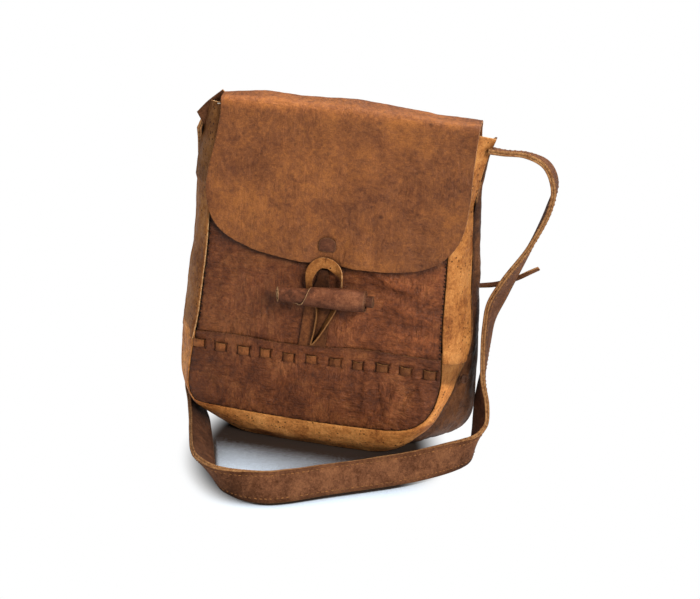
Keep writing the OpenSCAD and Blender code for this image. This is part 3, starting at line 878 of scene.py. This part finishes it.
profile_path, profile_run = profile()
profile_tangent = unit(np.gradient(profile_path, profile_run, axis=0))
# Where the flap's piece meets the back's piece, as a distance from the front crease.
FOLD_MIDDLE = -9.5
# How far the top strip is bowed up along its length.
FOLD_CROWN = [
    (-86, 0), (-72, 2.4), (-55, 4.2), (-25, 3.2), (-5, 4.2), (15, 5.6), (34, 4.2), (55, 2.2), (78, 0.2),
    (108, 0),
]


def wrap(x, q, d):
    """A point at a distance along the flap leather from its front crease, moved outwards by d."""
    y = np.interp(q, profile_run, profile_path[:, 0])
    z = np.interp(q, profile_run, profile_path[:, 1])
    ty = np.interp(q, profile_run, profile_tangent[:, 0])
    tz = np.interp(q, profile_run, profile_tangent[:, 1])
    return np.stack([x, y + tz * d, z - ty * d], -1)


def fold_relief(x, q):
    """The bow and the waves of the top strip, shared by the two pieces that meet in its middle."""
    crown = np.interp(x, *zip(*FOLD_CROWN)) * bell(q, FOLD_MIDDLE - 4, 12)
    return 0.55 * fbm(plane(x, q), 24, 41) + 0.15 * fbm(plane(x, q), 6, 42) + crown


def on_flap(points):
    """Points given as across and height, as across and distance along the flap from its crease."""
    falling = profile_run > 2
    return [(x, float(np.interp(-z, -profile_path[falling, 1], profile_run[falling]))) for x, z in points]


def on_back(line):
    """The same for the back."""
    rising = profile_run < -20
    return np.stack([line[:, 0], np.interp(line[:, 1], profile_path[rising, 1], profile_run[rising])], 1)


FOLD_LEFT, FOLD_RIGHT = (-85.5, FOLD_MIDDLE), (107.5, FOLD_MIDDLE)
flap_round = spline([FOLD_LEFT, (-84.2, -2)] + on_flap(FLAP_EDGE) + [(108.2, -2), FOLD_RIGHT], 3000)
first, second = (int(np.argmin(np.linalg.norm(flap_round - mark, axis=1))) for mark in on_flap(FLAP_CORNERS))
flap_flat = patch(spline([flap_round[0], flap_round[-1]], 190), evenly(flap_round[first:second + 1], 190),
                  evenly(flap_round[:first + 1], 150), evenly(flap_round[second:][::-1], 150))
fx, fq = flap_flat[..., 0], flap_flat[..., 1]
fz = np.interp(fq, profile_run, profile_path[:, 1])
down = smoothstep(2, 30, fq)
rag = fbm(plane(fx, fq), 9, 51)
# The lower edge stands off the bag, apart from where the toggle turns across it.
lift = 3.4 * smoothstep(80, 114, fq) * (1 + 0.35 * np.sin(fx / 21 + 1)) * (1 - 0.8 * bell(fx, 6, 15, 4))
flap_out = fold_relief(fx, fq) + down * (swell(fx, fz) + 0.7 * fbm(plane(fx, fq), 36, 52)) + lift
flap_grid = wrap(fx, fq + 0.5 * rag * smoothstep(90, 112, fq), flap_out)
# A painted highlight along the fold; the rest is a little darker towards the right and the lower edge.
painted_fold_highlight = (smoothstep(-7, -4, fq) * smoothstep(6.5, 2.5, fq + 1.5 * rag)
             * (0.75 - 0.35 * smoothstep(-60, 60, fx)))
shade = (0.14 * smoothstep(20, 105, fx) + 0.1 * smoothstep(88, 106, fx) * smoothstep(0, 20, fq)
         + 0.1 * smoothstep(70, 105, fq) + 0.1 * np.clip(fbm(plane(fx, fq), 55, 57, 2), 0, 1))
flap = skin("flap", "flap_leather", None, flap_grid, PANEL_T, more=("flap_fold",), crease=-0.8 * painted_fold_highlight,
            dark=shade * (1 - painted_fold_highlight), outside=(0, 30, 150), joined_start=True)
blend(flap)

back_left, back_base, back_right = (on_back(line) for line in rim_curves(BACK_SEAM, BACK_MARKS, 400, 150))
back_left = np.vstack([spline([FOLD_LEFT, (-86.5, -20), tuple(back_left[2])], 20)[:-1], back_left[2:]])
back_right = np.vstack([spline([FOLD_RIGHT, (107.3, -20), tuple(back_right[2])], 20)[:-1], back_right[2:]])
back_flat = patch(spline([back_left[0], back_right[0]], 150), back_base, evenly(back_left, 180),
                  evenly(back_right, 180))
bx, bq = back_flat[..., 0], back_flat[..., 1]
bz = np.interp(bq, profile_run, profile_path[:, 1])
belly = 3.0 * np.clip(1 - ((bx - 5) / 108) ** 2, 0, 1) * np.clip(1 - ((bz - 110) / 112) ** 2, 0, 1)
below_crease = smoothstep(-24, -50, bq)
back_out = fold_relief(bx, bq) + below_crease * (belly + fbm(plane(bx, bq), 40, 61))
# Fine creases, with painted shade in them.
fine = creases(bx, bq, 80, 4.5, 30, 63) * below_crease
back = skin("back_panel", "flap_leather", None, wrap(bx, bq, back_out - 0.3 * fine), PANEL_T,
            crease=0.5 * fine, outside=(0, -30, 150), joined_start=True)
blend(back)

# The wall between the two compartments.
DIVIDER_LEAN = math.radians(3.2)
divider_flat = patch(spline([(-88, 240), (10, 236), (98, 240)], 80),
                     spline([(-72, 11), (-10, 6), (56, 8)], 80),
                     spline([(-88, 240), (-98, 130), (-102, 50), (-94, 22), (-72, 11)], 90),
                     spline([(98, 240), (99, 190), (101, 110), (95, 56), (78, 24), (56, 8)], 90))
dx, dz = divider_flat[..., 0], divider_flat[..., 1]
divider_foot = box_mm("middle_divider")[0][1] + 1.0
divider_y = divider_foot + dz * math.tan(DIVIDER_LEAN) + 1.2 * fbm(plane(dx, dz), 45, 71)
skin("middle_divider", "rear_leather", "bag", np.stack([dx, divider_y, dz], -1), GUSSET_T,
     outside=(0, 30, 100))


# ---- seams

def seam_ups(line, out_y):
    """The directions that stitches stand up in: outwards from the bag's middle and to the front or back."""
    away = unit(np.stack([line[:, 0] - 5, 0 * line[:, 0], (line[:, 2] - 120) * 0.8], 1))
    return unit(away + np.array([0, out_y, 0]))


front_groove = front_line - outward * 0.5 + front_normal
sewn = stitches("front_seam_stitches", [(front_groove, seam_ups(front_line, -2.0))], pitch=2.9, length=1.9,
                radius=0.46, seed=81, skew=1.2)
place(sewn, "seam_thread", "front_seam_thread", "bag")
shown = middle_line[4:-6]
middle_up = seam_ups(shown, -0.4)
middle_groove = shown + middle_up * 1.4 + [0, 0.9, 0]
middle_groove[:, 2] = np.maximum(middle_groove[:, 2], FLOOR_GAP)
sewn = stitches("middle_seam_stitches", [(middle_groove, middle_up)], pitch=3.6, length=2.2, radius=0.4,
                seed=82, skew=1.2)
place(sewn, "seam_thread", "middle_seam_thread", "bag")
shown = back_line[3:-3]
rear_groove = shown + [0, 1.2, 0] - seam_ups(shown, 0) * 3.0
sewn = stitches("rear_seam_stitches", [(rear_groove, np.array([0, 1.0, 0.05]))], pitch=5.2, length=3.4,
                radius=0.5, seed=83)
place(sewn, "seam_thread", "rear_seam_thread", "bag")


# ---- loop, stop, toggle, tab

hinge = joint_at["loop_swing"]
# Each row: across, height, distance off the front plane, and how far the band is turned edge-on. It is a
# closed arch on the flap that narrows to a long V behind the toggle.
LOOP_ROWS = [
    (5, 154.5, 5.8, 0.0), (1.6, 154.2, 5.9, 0.0), (-2.6, 151.2, 6.0, 0.0), (-5.6, 146, 6.0, 0.0),
    (-6.6, 139, 5.4, 0.05), (-5.0, 129.5, 4.2, 0.3), (0.8, 119, 4.2, 0.9), (0.4, 104, 4.2, 1.0),
    (-1.6, 91, 4.4, 1.0), (2.6, 96.5, 4.6, 0.75), (9, 109, 4.6, 0.6), (14.4, 120.5, 4.6, 0.6),
    (17.8, 132, 5.0, 0.85), (18.2, 141, 5.5, 0.8), (15.8, 147.6, 5.7, 0.45), (12, 151.8, 5.8, 0.12),
    (8.4, 154.0, 5.8, 0.0), (5, 154.5, 5.8, 0.0),
]
loop_line = spline(LOOP_ROWS, 220)
loop_path = front(loop_line[:, 0], loop_line[:, 1], loop_line[:, 2] + swell(loop_line[:, 0], loop_line[:, 1]))
loop_along = unit(np.gradient(loop_path, axis=0))
in_plane = unit(np.cross(loop_along, front_normal))
turned = loop_line[:, 3:4]
loop_wide = unit(in_plane * (1 - turned) + front_normal * turned)
loop_z = loop_line[:, 1]
loop_width = 4.8 + 3.2 * smoothstep(136, 150, loop_z)
# A little darker all over, with painted shade on the V's legs behind the toggle.
loop_dark = 0.13 + 0.53 * smoothstep(134, 122, loop_z)
loop_raw = 0.3 + 0.2 * smoothstep(120, 134, loop_z)
loop = skin("closure_loop", "gusset_leather", None, band_grid(loop_path, loop_wide, loop_width), 1.2,
            dark=loop_dark[:, None], outside=(hinge[0], -10, 130), joined_start=True, joined_end=True,
            raw=loop_raw[:, None])
blend(loop)

# The stop is a little domed and lies on the flap, whose lift is measured round it.
stop_low, stop_high = box_mm("loop_stop")
STOP_R = 7.2
STOP_DROP = 3.6
STOP_T = 1.4
stop_x = (stop_low[0] + stop_high[0]) / 2
stop_z = stop_high[2] - STOP_R - STOP_DROP
side = [(stop_x - 5.6, stop_z + 3.4), (stop_x - 6.5, stop_z), (stop_x - 6.2, stop_z - 3),
        (stop_x - 5.2, stop_z - 4.6)]
other = [(2 * stop_x - x, z) for x, z in side]
crown = spline([side[0], (stop_x - 3, stop_z + 5.2), (stop_x, stop_z + 5.8), (stop_x + 3, stop_z + 5.2),
                other[0]], 26)
base = spline([side[-1], (stop_x, stop_z - 4.8), other[-1]], 26)
stop_flat = patch(crown, base, spline(side, 22), spline(other, 22))
sx, sz = stop_flat[..., 0], stop_flat[..., 1]
flap_lift = np.median(lift[(np.abs(fx - stop_x) < 8) & (np.abs(fz - stop_z) < 8)])
dome = 0.5 * (1 - ((sx - stop_x) / 8) ** 2 - ((sz - stop_z) / 8) ** 2)
stop_out = FLAP_OFF + flap_lift + 1.3 + swell(sx, sz) + dome
skin("loop_stop", "toggle_leather", "flap", front(sx, sz, stop_out), STOP_T, dark=0.22, outside=FLAT_BEHIND,
     raw=0.1)

# The toggle's middle, moved out from the flap's edge and along to the right, and its own axes.
TOGGLE_OUT, TOGGLE_SHIFT = 3.4, 2.4
TOGGLE_LEAN = math.radians(2.8)
toggle_at = joint_at["toggle_turn"] + front_normal * TOGGLE_OUT
up_front = np.array([0, math.sin(FRONT_LEAN), math.cos(FRONT_LEAN)])
toggle_along = np.array([1, 0, 0]) * math.cos(TOGGLE_LEAN) + up_front * math.sin(TOGGLE_LEAN)
toggle_up = unit(np.cross(front_normal, toggle_along))


def roll(turns, inner, layer, left, right, taper, count, columns, phase, seed, slant=0.0):
    """Leather rolled round the toggle's axis from a radius, a layer's thickness per turn. left and right are
    its ends along the roll, each as (part of the roll, place) pairs; taper is the change of radius along it;
    slant moves the left end's near side inwards."""
    s = np.linspace(0, 1, count)
    angle = phase - s * turns * 2 * math.pi
    across = np.linspace(0, 1, columns)[None]
    slanted = np.interp(s, *zip(*left)) + slant * np.sin(angle)
    reach = slanted[:, None] * (1 - across) + np.interp(s, *zip(*right))[:, None] * across
    wobble = 0.14 * fbm(plane(reach, np.repeat(angle[:, None], columns, 1) * 4), 7, seed)
    shape = np.interp(reach, *zip(*taper))
    r = inner + layer * turns * s[:, None] + shape * (0.4 + 0.6 * s[:, None]) + wobble
    ring = toggle_up * np.cos(angle)[:, None, None] + front_normal * np.sin(angle)[:, None, None]
    return toggle_at + toggle_along * (reach + TOGGLE_SHIFT)[..., None] + ring * r[..., None]


def painted_underside_shade(grid):
    """Painted shade for the toggle's lower side: 1 there, 0 on its upper side."""
    off = grid - toggle_at
    outwards = unit(off - (off @ toggle_along)[..., None] * toggle_along)
    return smoothstep(0.3, -0.9, outwards @ toggle_up)


def toggle_skin(node, grid, dark):
    """A sheet of the rolled toggle; its cut edges are pale at the left and dark at the right."""
    skin(node, "toggle_leather", "toggle", grid, 1.1, dark=dark, outside=toggle_at,
         raw=np.linspace(1, 0.1, grid.shape[1])[None])


core_grid = roll(turns=2.2, inner=1.2, layer=1.15, left=[(0, -35.6), (1, -35.6)],
                 right=[(0, 36.4), (1, 36.9)], taper=[(-36, 0), (28, 0), (37, 0.5)],
                 count=150, columns=50, phase=0.6, seed=91, slant=1.4)
# Painted shade on the core's lower side; a little darker all over and towards the right.
toggle_skin("toggle_core", core_grid,
            0.12 + 0.3 * painted_underside_shade(core_grid) + np.linspace(0, 0.2, core_grid.shape[1])[None])
# The wrap's left end is cut back on the slant over its last part of a turn.
wrap_grid = roll(turns=2.35, inner=3.85, layer=1.15,
                 left=[(0, -36.2), (0.69, -36.2), (0.73, -21), (0.95, -11), (1, -9)],
                 right=[(0, 31.6), (1, 30.6)],
                 taper=[(-38, 0), (-34.5, -0.2), (-24, 0), (-8, 0.5), (10, 1.5), (22, 1.7), (33, 0.9)],
                 count=280, columns=80, phase=1.5, seed=92, slant=2.0)
# Painted shade on the wrap's lower side.
toggle_skin("toggle_wrap", wrap_grid, 0.42 * painted_underside_shade(wrap_grid))

tab_flat = patch(spline([(-0.6, 148.5), (6.6, 148.5)], 24), spline([(-12.4, 87.4), (8.2, 88.6)], 24),
                 spline([(-0.6, 148.5), (-1.6, 139), (-6.6, 129), (-9.4, 116), (-12.4, 87.4)], 70),
                 spline([(6.6, 148.5), (7.6, 139), (9.8, 128), (10.6, 116), (8.2, 88.6)], 70))
tx, tz = tab_flat[..., 0], tab_flat[..., 1]
tab_out = 1.5 + swell(tx, tz) + 0.5 * fbm(plane(tx, tz), 14, 95)
# Darker all over, with painted shade at its top under the toggle and at its right behind the loop.
tab_dark = 0.3 + 0.3 * smoothstep(-6, 0, tx) + 0.2 * smoothstep(118, 134, tz)
skin("toggle_tab", "lace_leather", "toggle_tab", front(tx, tz, tab_out), 1.5, dark=tab_dark,
     outside=FLAT_BEHIND, raw=0.4)

# The thong runs from the tab to the toggle's middle, twisted.
pin_d = np.linspace(2.0, 15.0 + TOGGLE_OUT, 30)
pin_path = toggle_at + front_normal * (pin_d - pin_d[-1])[:, None]
twist = np.linspace(0, 2.5, 30)[:, None]
pin_wide = toggle_along * np.cos(twist) + toggle_up * np.sin(twist)
skin("toggle_thong", "toggle_leather", "toggle_tab", band_grid(pin_path, pin_wide, 3.4, columns=6), 1.8,
     outside=toggle_at + 5)


# ---- strap

pivot = joint_at["strap_swing"]
STRAP_W = 23.0
STRAP_T = 1.9
# Each row: a point on the strap's middle line and the direction of its light upper edge, from the bag's
# top right corner, down its right side, round its front on the floor and up its left side.
STRAP_ROWS = [
    ((113.8, pivot[1], pivot[2]), (0, -1, 0.2)), ((125, 8, 243.4), (0, -1, 0.24)),
    ((141, 8, 243.6), (0, -1, 0.24)),
    ((155.5, 8, 238), (0, -1, 0.16)), ((163, 8, 223.5), (0, -1, 0.04)), ((160.5, 8.5, 205), (0.12, -1, 0.1)),
    ((150, 9, 176), (0, -1, 0.1)), ((138, 9, 150), (-0.36, -0.93, 0)), ((129, 10, 128), (-0.46, -0.89, 0)),
    ((125, 10, 110), (-0.16, -0.98, 0)), ((124, 11, 90), (-0.06, -1, 0)), ((123.8, 12, 66), (0.1, -1, 0)),
    ((124.5, 12, 44), (0.5, -0.85, 0.1)), ((125.5, 5, 23), (0.45, -0.6, 0.6)),
    ((122, -12, 13), (0.1, -0.1, 1)), ((105, -34, 11.8), (-0.12, 0.16, 1)),
    ((76, -60, 11.8), (-0.24, 0.32, 0.92)), ((30, -92, 11.8), (-0.22, 0.34, 0.92)),
    ((-10, -118.5, 11.8), (-0.1, 0.3, 0.94)), ((-43, -117, 11.6), (-0.2, -0.25, 0.93)),
    ((-60.5, -100, 10.2), (-0.55, -0.35, 0.76)), ((-69, -84, 9), (-0.7, -0.25, 0.67)),
    ((-80.5, -54, 8.8), (-0.7, -0.2, 0.68)), ((-96, -14, 9.2), (-0.68, -0.1, 0.73)),
    ((-108.5, 13, 13), (-0.45, -0.3, 0.85)), ((-114, 27, 34), (0, -0.85, 0.5)),
    ((-112.8, 36, 76), (0, -1, 0.1)), ((-110.4, 35, 140), (0, -1, -0.1)), ((-107.5, 27, 200), (0, -1, -0.2)),
    ((-104.8, 17, 228), (0, -1, -0.2)), ((-103.2, pivot[1], pivot[2]), (0, -1, -0.2)),
]
STRAP_STEPS = 700
strap_points = np.array([point for point, _ in STRAP_ROWS], float)
strap_turns = np.array([upper for _, upper in STRAP_ROWS], float)
# Spaced by the middle line alone, with the width directions carried along and smoothed.
strap_path = spline(strap_points, STRAP_STEPS)
row_place = [int(np.argmin(np.linalg.norm(strap_path - p, axis=1))) for p in strap_points]
strap_wide = unit(np.stack([np.interp(np.arange(STRAP_STEPS), row_place, part) for part in strap_turns.T], 1))
for _ in range(30):
    strap_wide[1:-1] = unit(strap_wide[:-2] + 2 * strap_wide[1:-1] + strap_wide[2:])
# The strap wavers a little in its place and width, and is lifted where it would go through the floor.
run = np.linspace(0, 700, STRAP_STEPS)
waver = plane(run, 0 * run)
strap_path = strap_path + 0.5 * fbm(waver, 60, 101)[:, None] * np.array([1, 1, 0.2])
strap_width = STRAP_W + 0.9 * fbm(waver, 40, 102)
_, face, side = frames_along(strap_path, strap_wide)
lowest = strap_path[:, 2] - strap_width / 2 * np.abs(side[:, 2]) - 2.1 * np.abs(face[:, 2])
strap_path[:, 2] += np.maximum(0.3 - lowest, 0)
LAYER_OFF = STRAP_T / 2 + 0.01
lining_width = strap_width + 0.6 * fbm(waver, 30, 103)
for node, width, off, dark in (("strap_outer", strap_width, -LAYER_OFF, 0),
                               ("strap_lining", lining_width, LAYER_OFF, 0.3)):
    grid = band_grid(strap_path, strap_wide, width, off, columns=15)
    skin(node, "strap_suede", "strap", grid, STRAP_T, dark=dark, raw=0.9, soft=0.14)

# Two rows of stitches on the outer layer.
STITCH_INSET = 3.1
_, face, side = frames_along(strap_path, strap_wide)
stitch_lines = [(strap_path + side * row - face * 1.96, -face)
                for row in (STITCH_INSET - STRAP_W / 2, STRAP_W / 2 - STITCH_INSET)]
strap_stitches = stitches("strap_stitches", stitch_lines, pitch=3.9, length=2.7, radius=0.42, seed=110,
                          proud=-0.1)
place(strap_stitches, "strap_thread", "strap_thread", "strap")


# ---- loose ends

root = joint_at["side_thong_swing"]
THONG_POINTS = [(-3, 0, 2.4), (10, 1, 5), (24, 0, 11.6), (35, -1, 19), (41, -1, 22.8)]
thong_line = spline(root + np.array(THONG_POINTS), 60)
turn = np.linspace(0.2, 2.2, 60)[:, None]
thong_wide = np.array([0, 1, 0]) * np.cos(turn) + np.array([0, 0, 1]) * np.sin(turn)
thong_grid = band_grid(thong_line, thong_wide, np.linspace(4.2, 3.2, 60), columns=6)
skin("side_thong", "strap_suede", "side_thong", thong_grid, 1.8)

# The knot is one closed turn of an overhand knot.
knot_low, knot_high = box_mm("lace_knot")
knot_at = (knot_low + knot_high) / 2 + [-4.4, -1.5, 6.0]
s = np.linspace(0, 2 * math.pi, 120)
knot_r = 0.9 * (2.3 + np.cos(3 * s))
knot_line = knot_at + np.stack([1.2 * np.cos(2 * s), knot_r * np.cos(2 * s), knot_r * np.sin(2 * s)], 1)
knot_grid = band_grid(knot_line, np.array([1.0, 0.3, 0]), 2.8, columns=5)
skin("lace_knot", "rear_leather", "bag", knot_grid, 1.4, raw=0.1)

# The strap's end at the top left.
end_flat = patch(spline([(-87, 268.6), (-80, 262)], 30), spline([(-106.6, 249.4), (-99.6, 238.6)], 30),
                 spline([(-87, 268.6), (-98, 259), (-106.6, 249.4)], 30),
                 spline([(-80, 262), (-88, 250), (-99.6, 238.6)], 30))
ex, ez = end_flat[..., 0], end_flat[..., 1]
end_y = box_mm("strap_tab_left")[0][1] + STRAP_T / 2 + 0.6 * fbm(plane(ex, ez), 9, 121)
end_tab = skin("strap_tab_left", "strap_suede", None, np.stack([ex, end_y, ez], -1), STRAP_T,
               outside=(-95, 30, 250))
blend(end_tab)

# White thread across the top end of the left gusset.
white_line = spline([middle_line[0] + [1.5, -3.6, 0.6], (middle_line[0] + raised[0]) / 2 + [-2.2, -2.2, 0],
                     raised[0] + [-1.5, -1.5, 0]], 20)
white = stitches("anchor_stitches", [(white_line, np.array([-0.6, -0.8, 0.2]))], pitch=5.2, length=5.6,
                 radius=0.5, seed=131)
place(white, "white_thread", "anchor_thread", "bag")


# ---- studio

def pale_floor():
    """A pale floor with a deep soft shadow painted into its colour where something stands close to it, and a
    faint painted blue glow where it is open. Away from the bag it fades to plain white."""
    far = 6.0
    mesh = bpy.data.meshes.new("floor")
    mesh.from_pydata([(-far, -far, 0), (far, -far, 0), (far, far, 0), (-far, far, 0)], [], [(0, 1, 2, 3)])
    pale = bpy.data.materials.new("pale_floor")
    pale.use_nodes = True
    tree = pale.node_tree
    # Painted shadow and glow: the colour darkens and the blue glow fades where the bag is close.
    painted_occlusion = add(tree, "ShaderNodeAmbientOcclusion", {"Distance": 0.075}, samples=8)
    depth = ramp(tree, painted_occlusion.outputs["AO"], [(0.5, (0.05, 0.035, 0.028, 1)), (0.8, (0.72, 0.83, 0.96, 1))])
    painted_glow = add(tree, "ShaderNodeMapRange",
              {"Value": painted_occlusion.outputs["AO"], "From Min": 0.62, "From Max": 0.95, "To Max": 0.42})
    matt = tree.nodes["Principled BSDF"]
    feed(tree, matt, {"Base Color": depth, "Roughness": 0.95, "Specular IOR Level": 0.1,
                      "Emission Color": (0.6, 0.8, 1.0, 1), "Emission Strength": painted_glow.outputs["Result"]})
    at = add(tree, "ShaderNodeNewGeometry", {})
    scaled = add(tree, "ShaderNodeVectorMath",
                 {0: at.outputs["Position"], 1: (1.22, 1.0, 0), 2: (-0.005, 0.03, 0)},
                 operation="MULTIPLY_ADD")
    far_off = add(tree, "ShaderNodeVectorMath", {0: scaled.outputs[0]}, operation="LENGTH")
    fade = add(tree, "ShaderNodeMapRange",
               {"Value": far_off.outputs["Value"], "From Min": 0.094, "From Max": 0.128},
               interpolation_type="SMOOTHSTEP")
    glow = add(tree, "ShaderNodeEmission", {})
    both = add(tree, "ShaderNodeMixShader",
               {0: fade.outputs["Result"], 1: matt.outputs[0], 2: glow.outputs[0]})
    feed(tree, tree.nodes["Material Output"], {"Surface": both.outputs[0]})
    mesh.materials.append(pale)
    floor = bpy.data.objects.new("floor", mesh)
    bpy.context.scene.collection.objects.link(floor)


def surround():
    """An even soft light from all round; the camera itself sees plain white."""
    world = bpy.data.worlds.new("surround")
    world.use_nodes = True
    tree = world.node_tree
    soft = tree.nodes["Background"]
    feed(tree, soft, {"Color": (1.0, 0.975, 0.95, 1), "Strength": 0.26})
    white = add(tree, "ShaderNodeBackground", {"Color": (1, 1, 1, 1)})
    seen = add(tree, "ShaderNodeLightPath", {})
    both = add(tree, "ShaderNodeMixShader",
               {0: seen.outputs["Is Camera Ray"], 1: soft.outputs[0], 2: white.outputs[0]})
    feed(tree, tree.nodes["World Output"], {"Surface": both.outputs[0]})
    bpy.context.scene.world = world


def soft_light(name, location, size, power, colour):
    """A square lamp turned to the bag's middle."""
    lamp = bpy.data.lights.new(name, "AREA")
    lamp.size, lamp.energy, lamp.color = size, power, colour
    light = bpy.data.objects.new(name, lamp)
    light.location = location
    light.rotation_mode = "QUATERNION"
    light.rotation_quaternion = (Vector((0, 0, 0.12)) - Vector(location)).to_track_quat("-Z", "Y")
    bpy.context.scene.collection.objects.link(light)


def bag_camera(azimuth, elevation, tilt, target, shift, distance):
    """A camera that looks at a point from a direction in degrees, tilted about its line of sight. shift moves
    it to the right and up in its own frame."""
    azimuth, elevation, tilt = (math.radians(v) for v in (azimuth, elevation, tilt))
    backward = Vector((math.sin(azimuth) * math.cos(elevation), -math.cos(azimuth) * math.cos(elevation),
                       math.sin(elevation)))
    level = Vector((math.cos(azimuth), math.sin(azimuth), 0))
    upright = backward.cross(level)
    right = level * math.cos(tilt) + upright * math.sin(tilt)
    up = upright * math.cos(tilt) - level * math.sin(tilt)
    data = bpy.data.cameras.new("main_camera")
    data.lens, data.sensor_width = 80, 36
    data.clip_start, data.clip_end = 0.05, 30
    camera = bpy.data.objects.new("main_camera", data)
    place_at = Vector(target) + right * shift[0] + up * shift[1] + backward * distance
    camera.matrix_world = Matrix.Translation(place_at) @ Matrix((right, up, backward)).transposed().to_4x4()
    bpy.context.scene.collection.objects.link(camera)
    bpy.context.scene.camera = camera


pale_floor()
surround()
soft_light("overhead", (0.14, 0.24, 1.2), 0.6, 15, (1.0, 0.975, 0.94))
soft_light("front_fill", (0.95, -1.05, 0.9), 0.5, 22, (1.0, 0.965, 0.92))
bag_camera(azimuth=12.0, elevation=22.0, tilt=3.3, target=(0.011, 0, 0.125), shift=(0.0069, -0.0085),
           distance=1.182)
bpy.context.scene.view_settings.view_transform = "Standard"

bpy.context.view_layer.update()
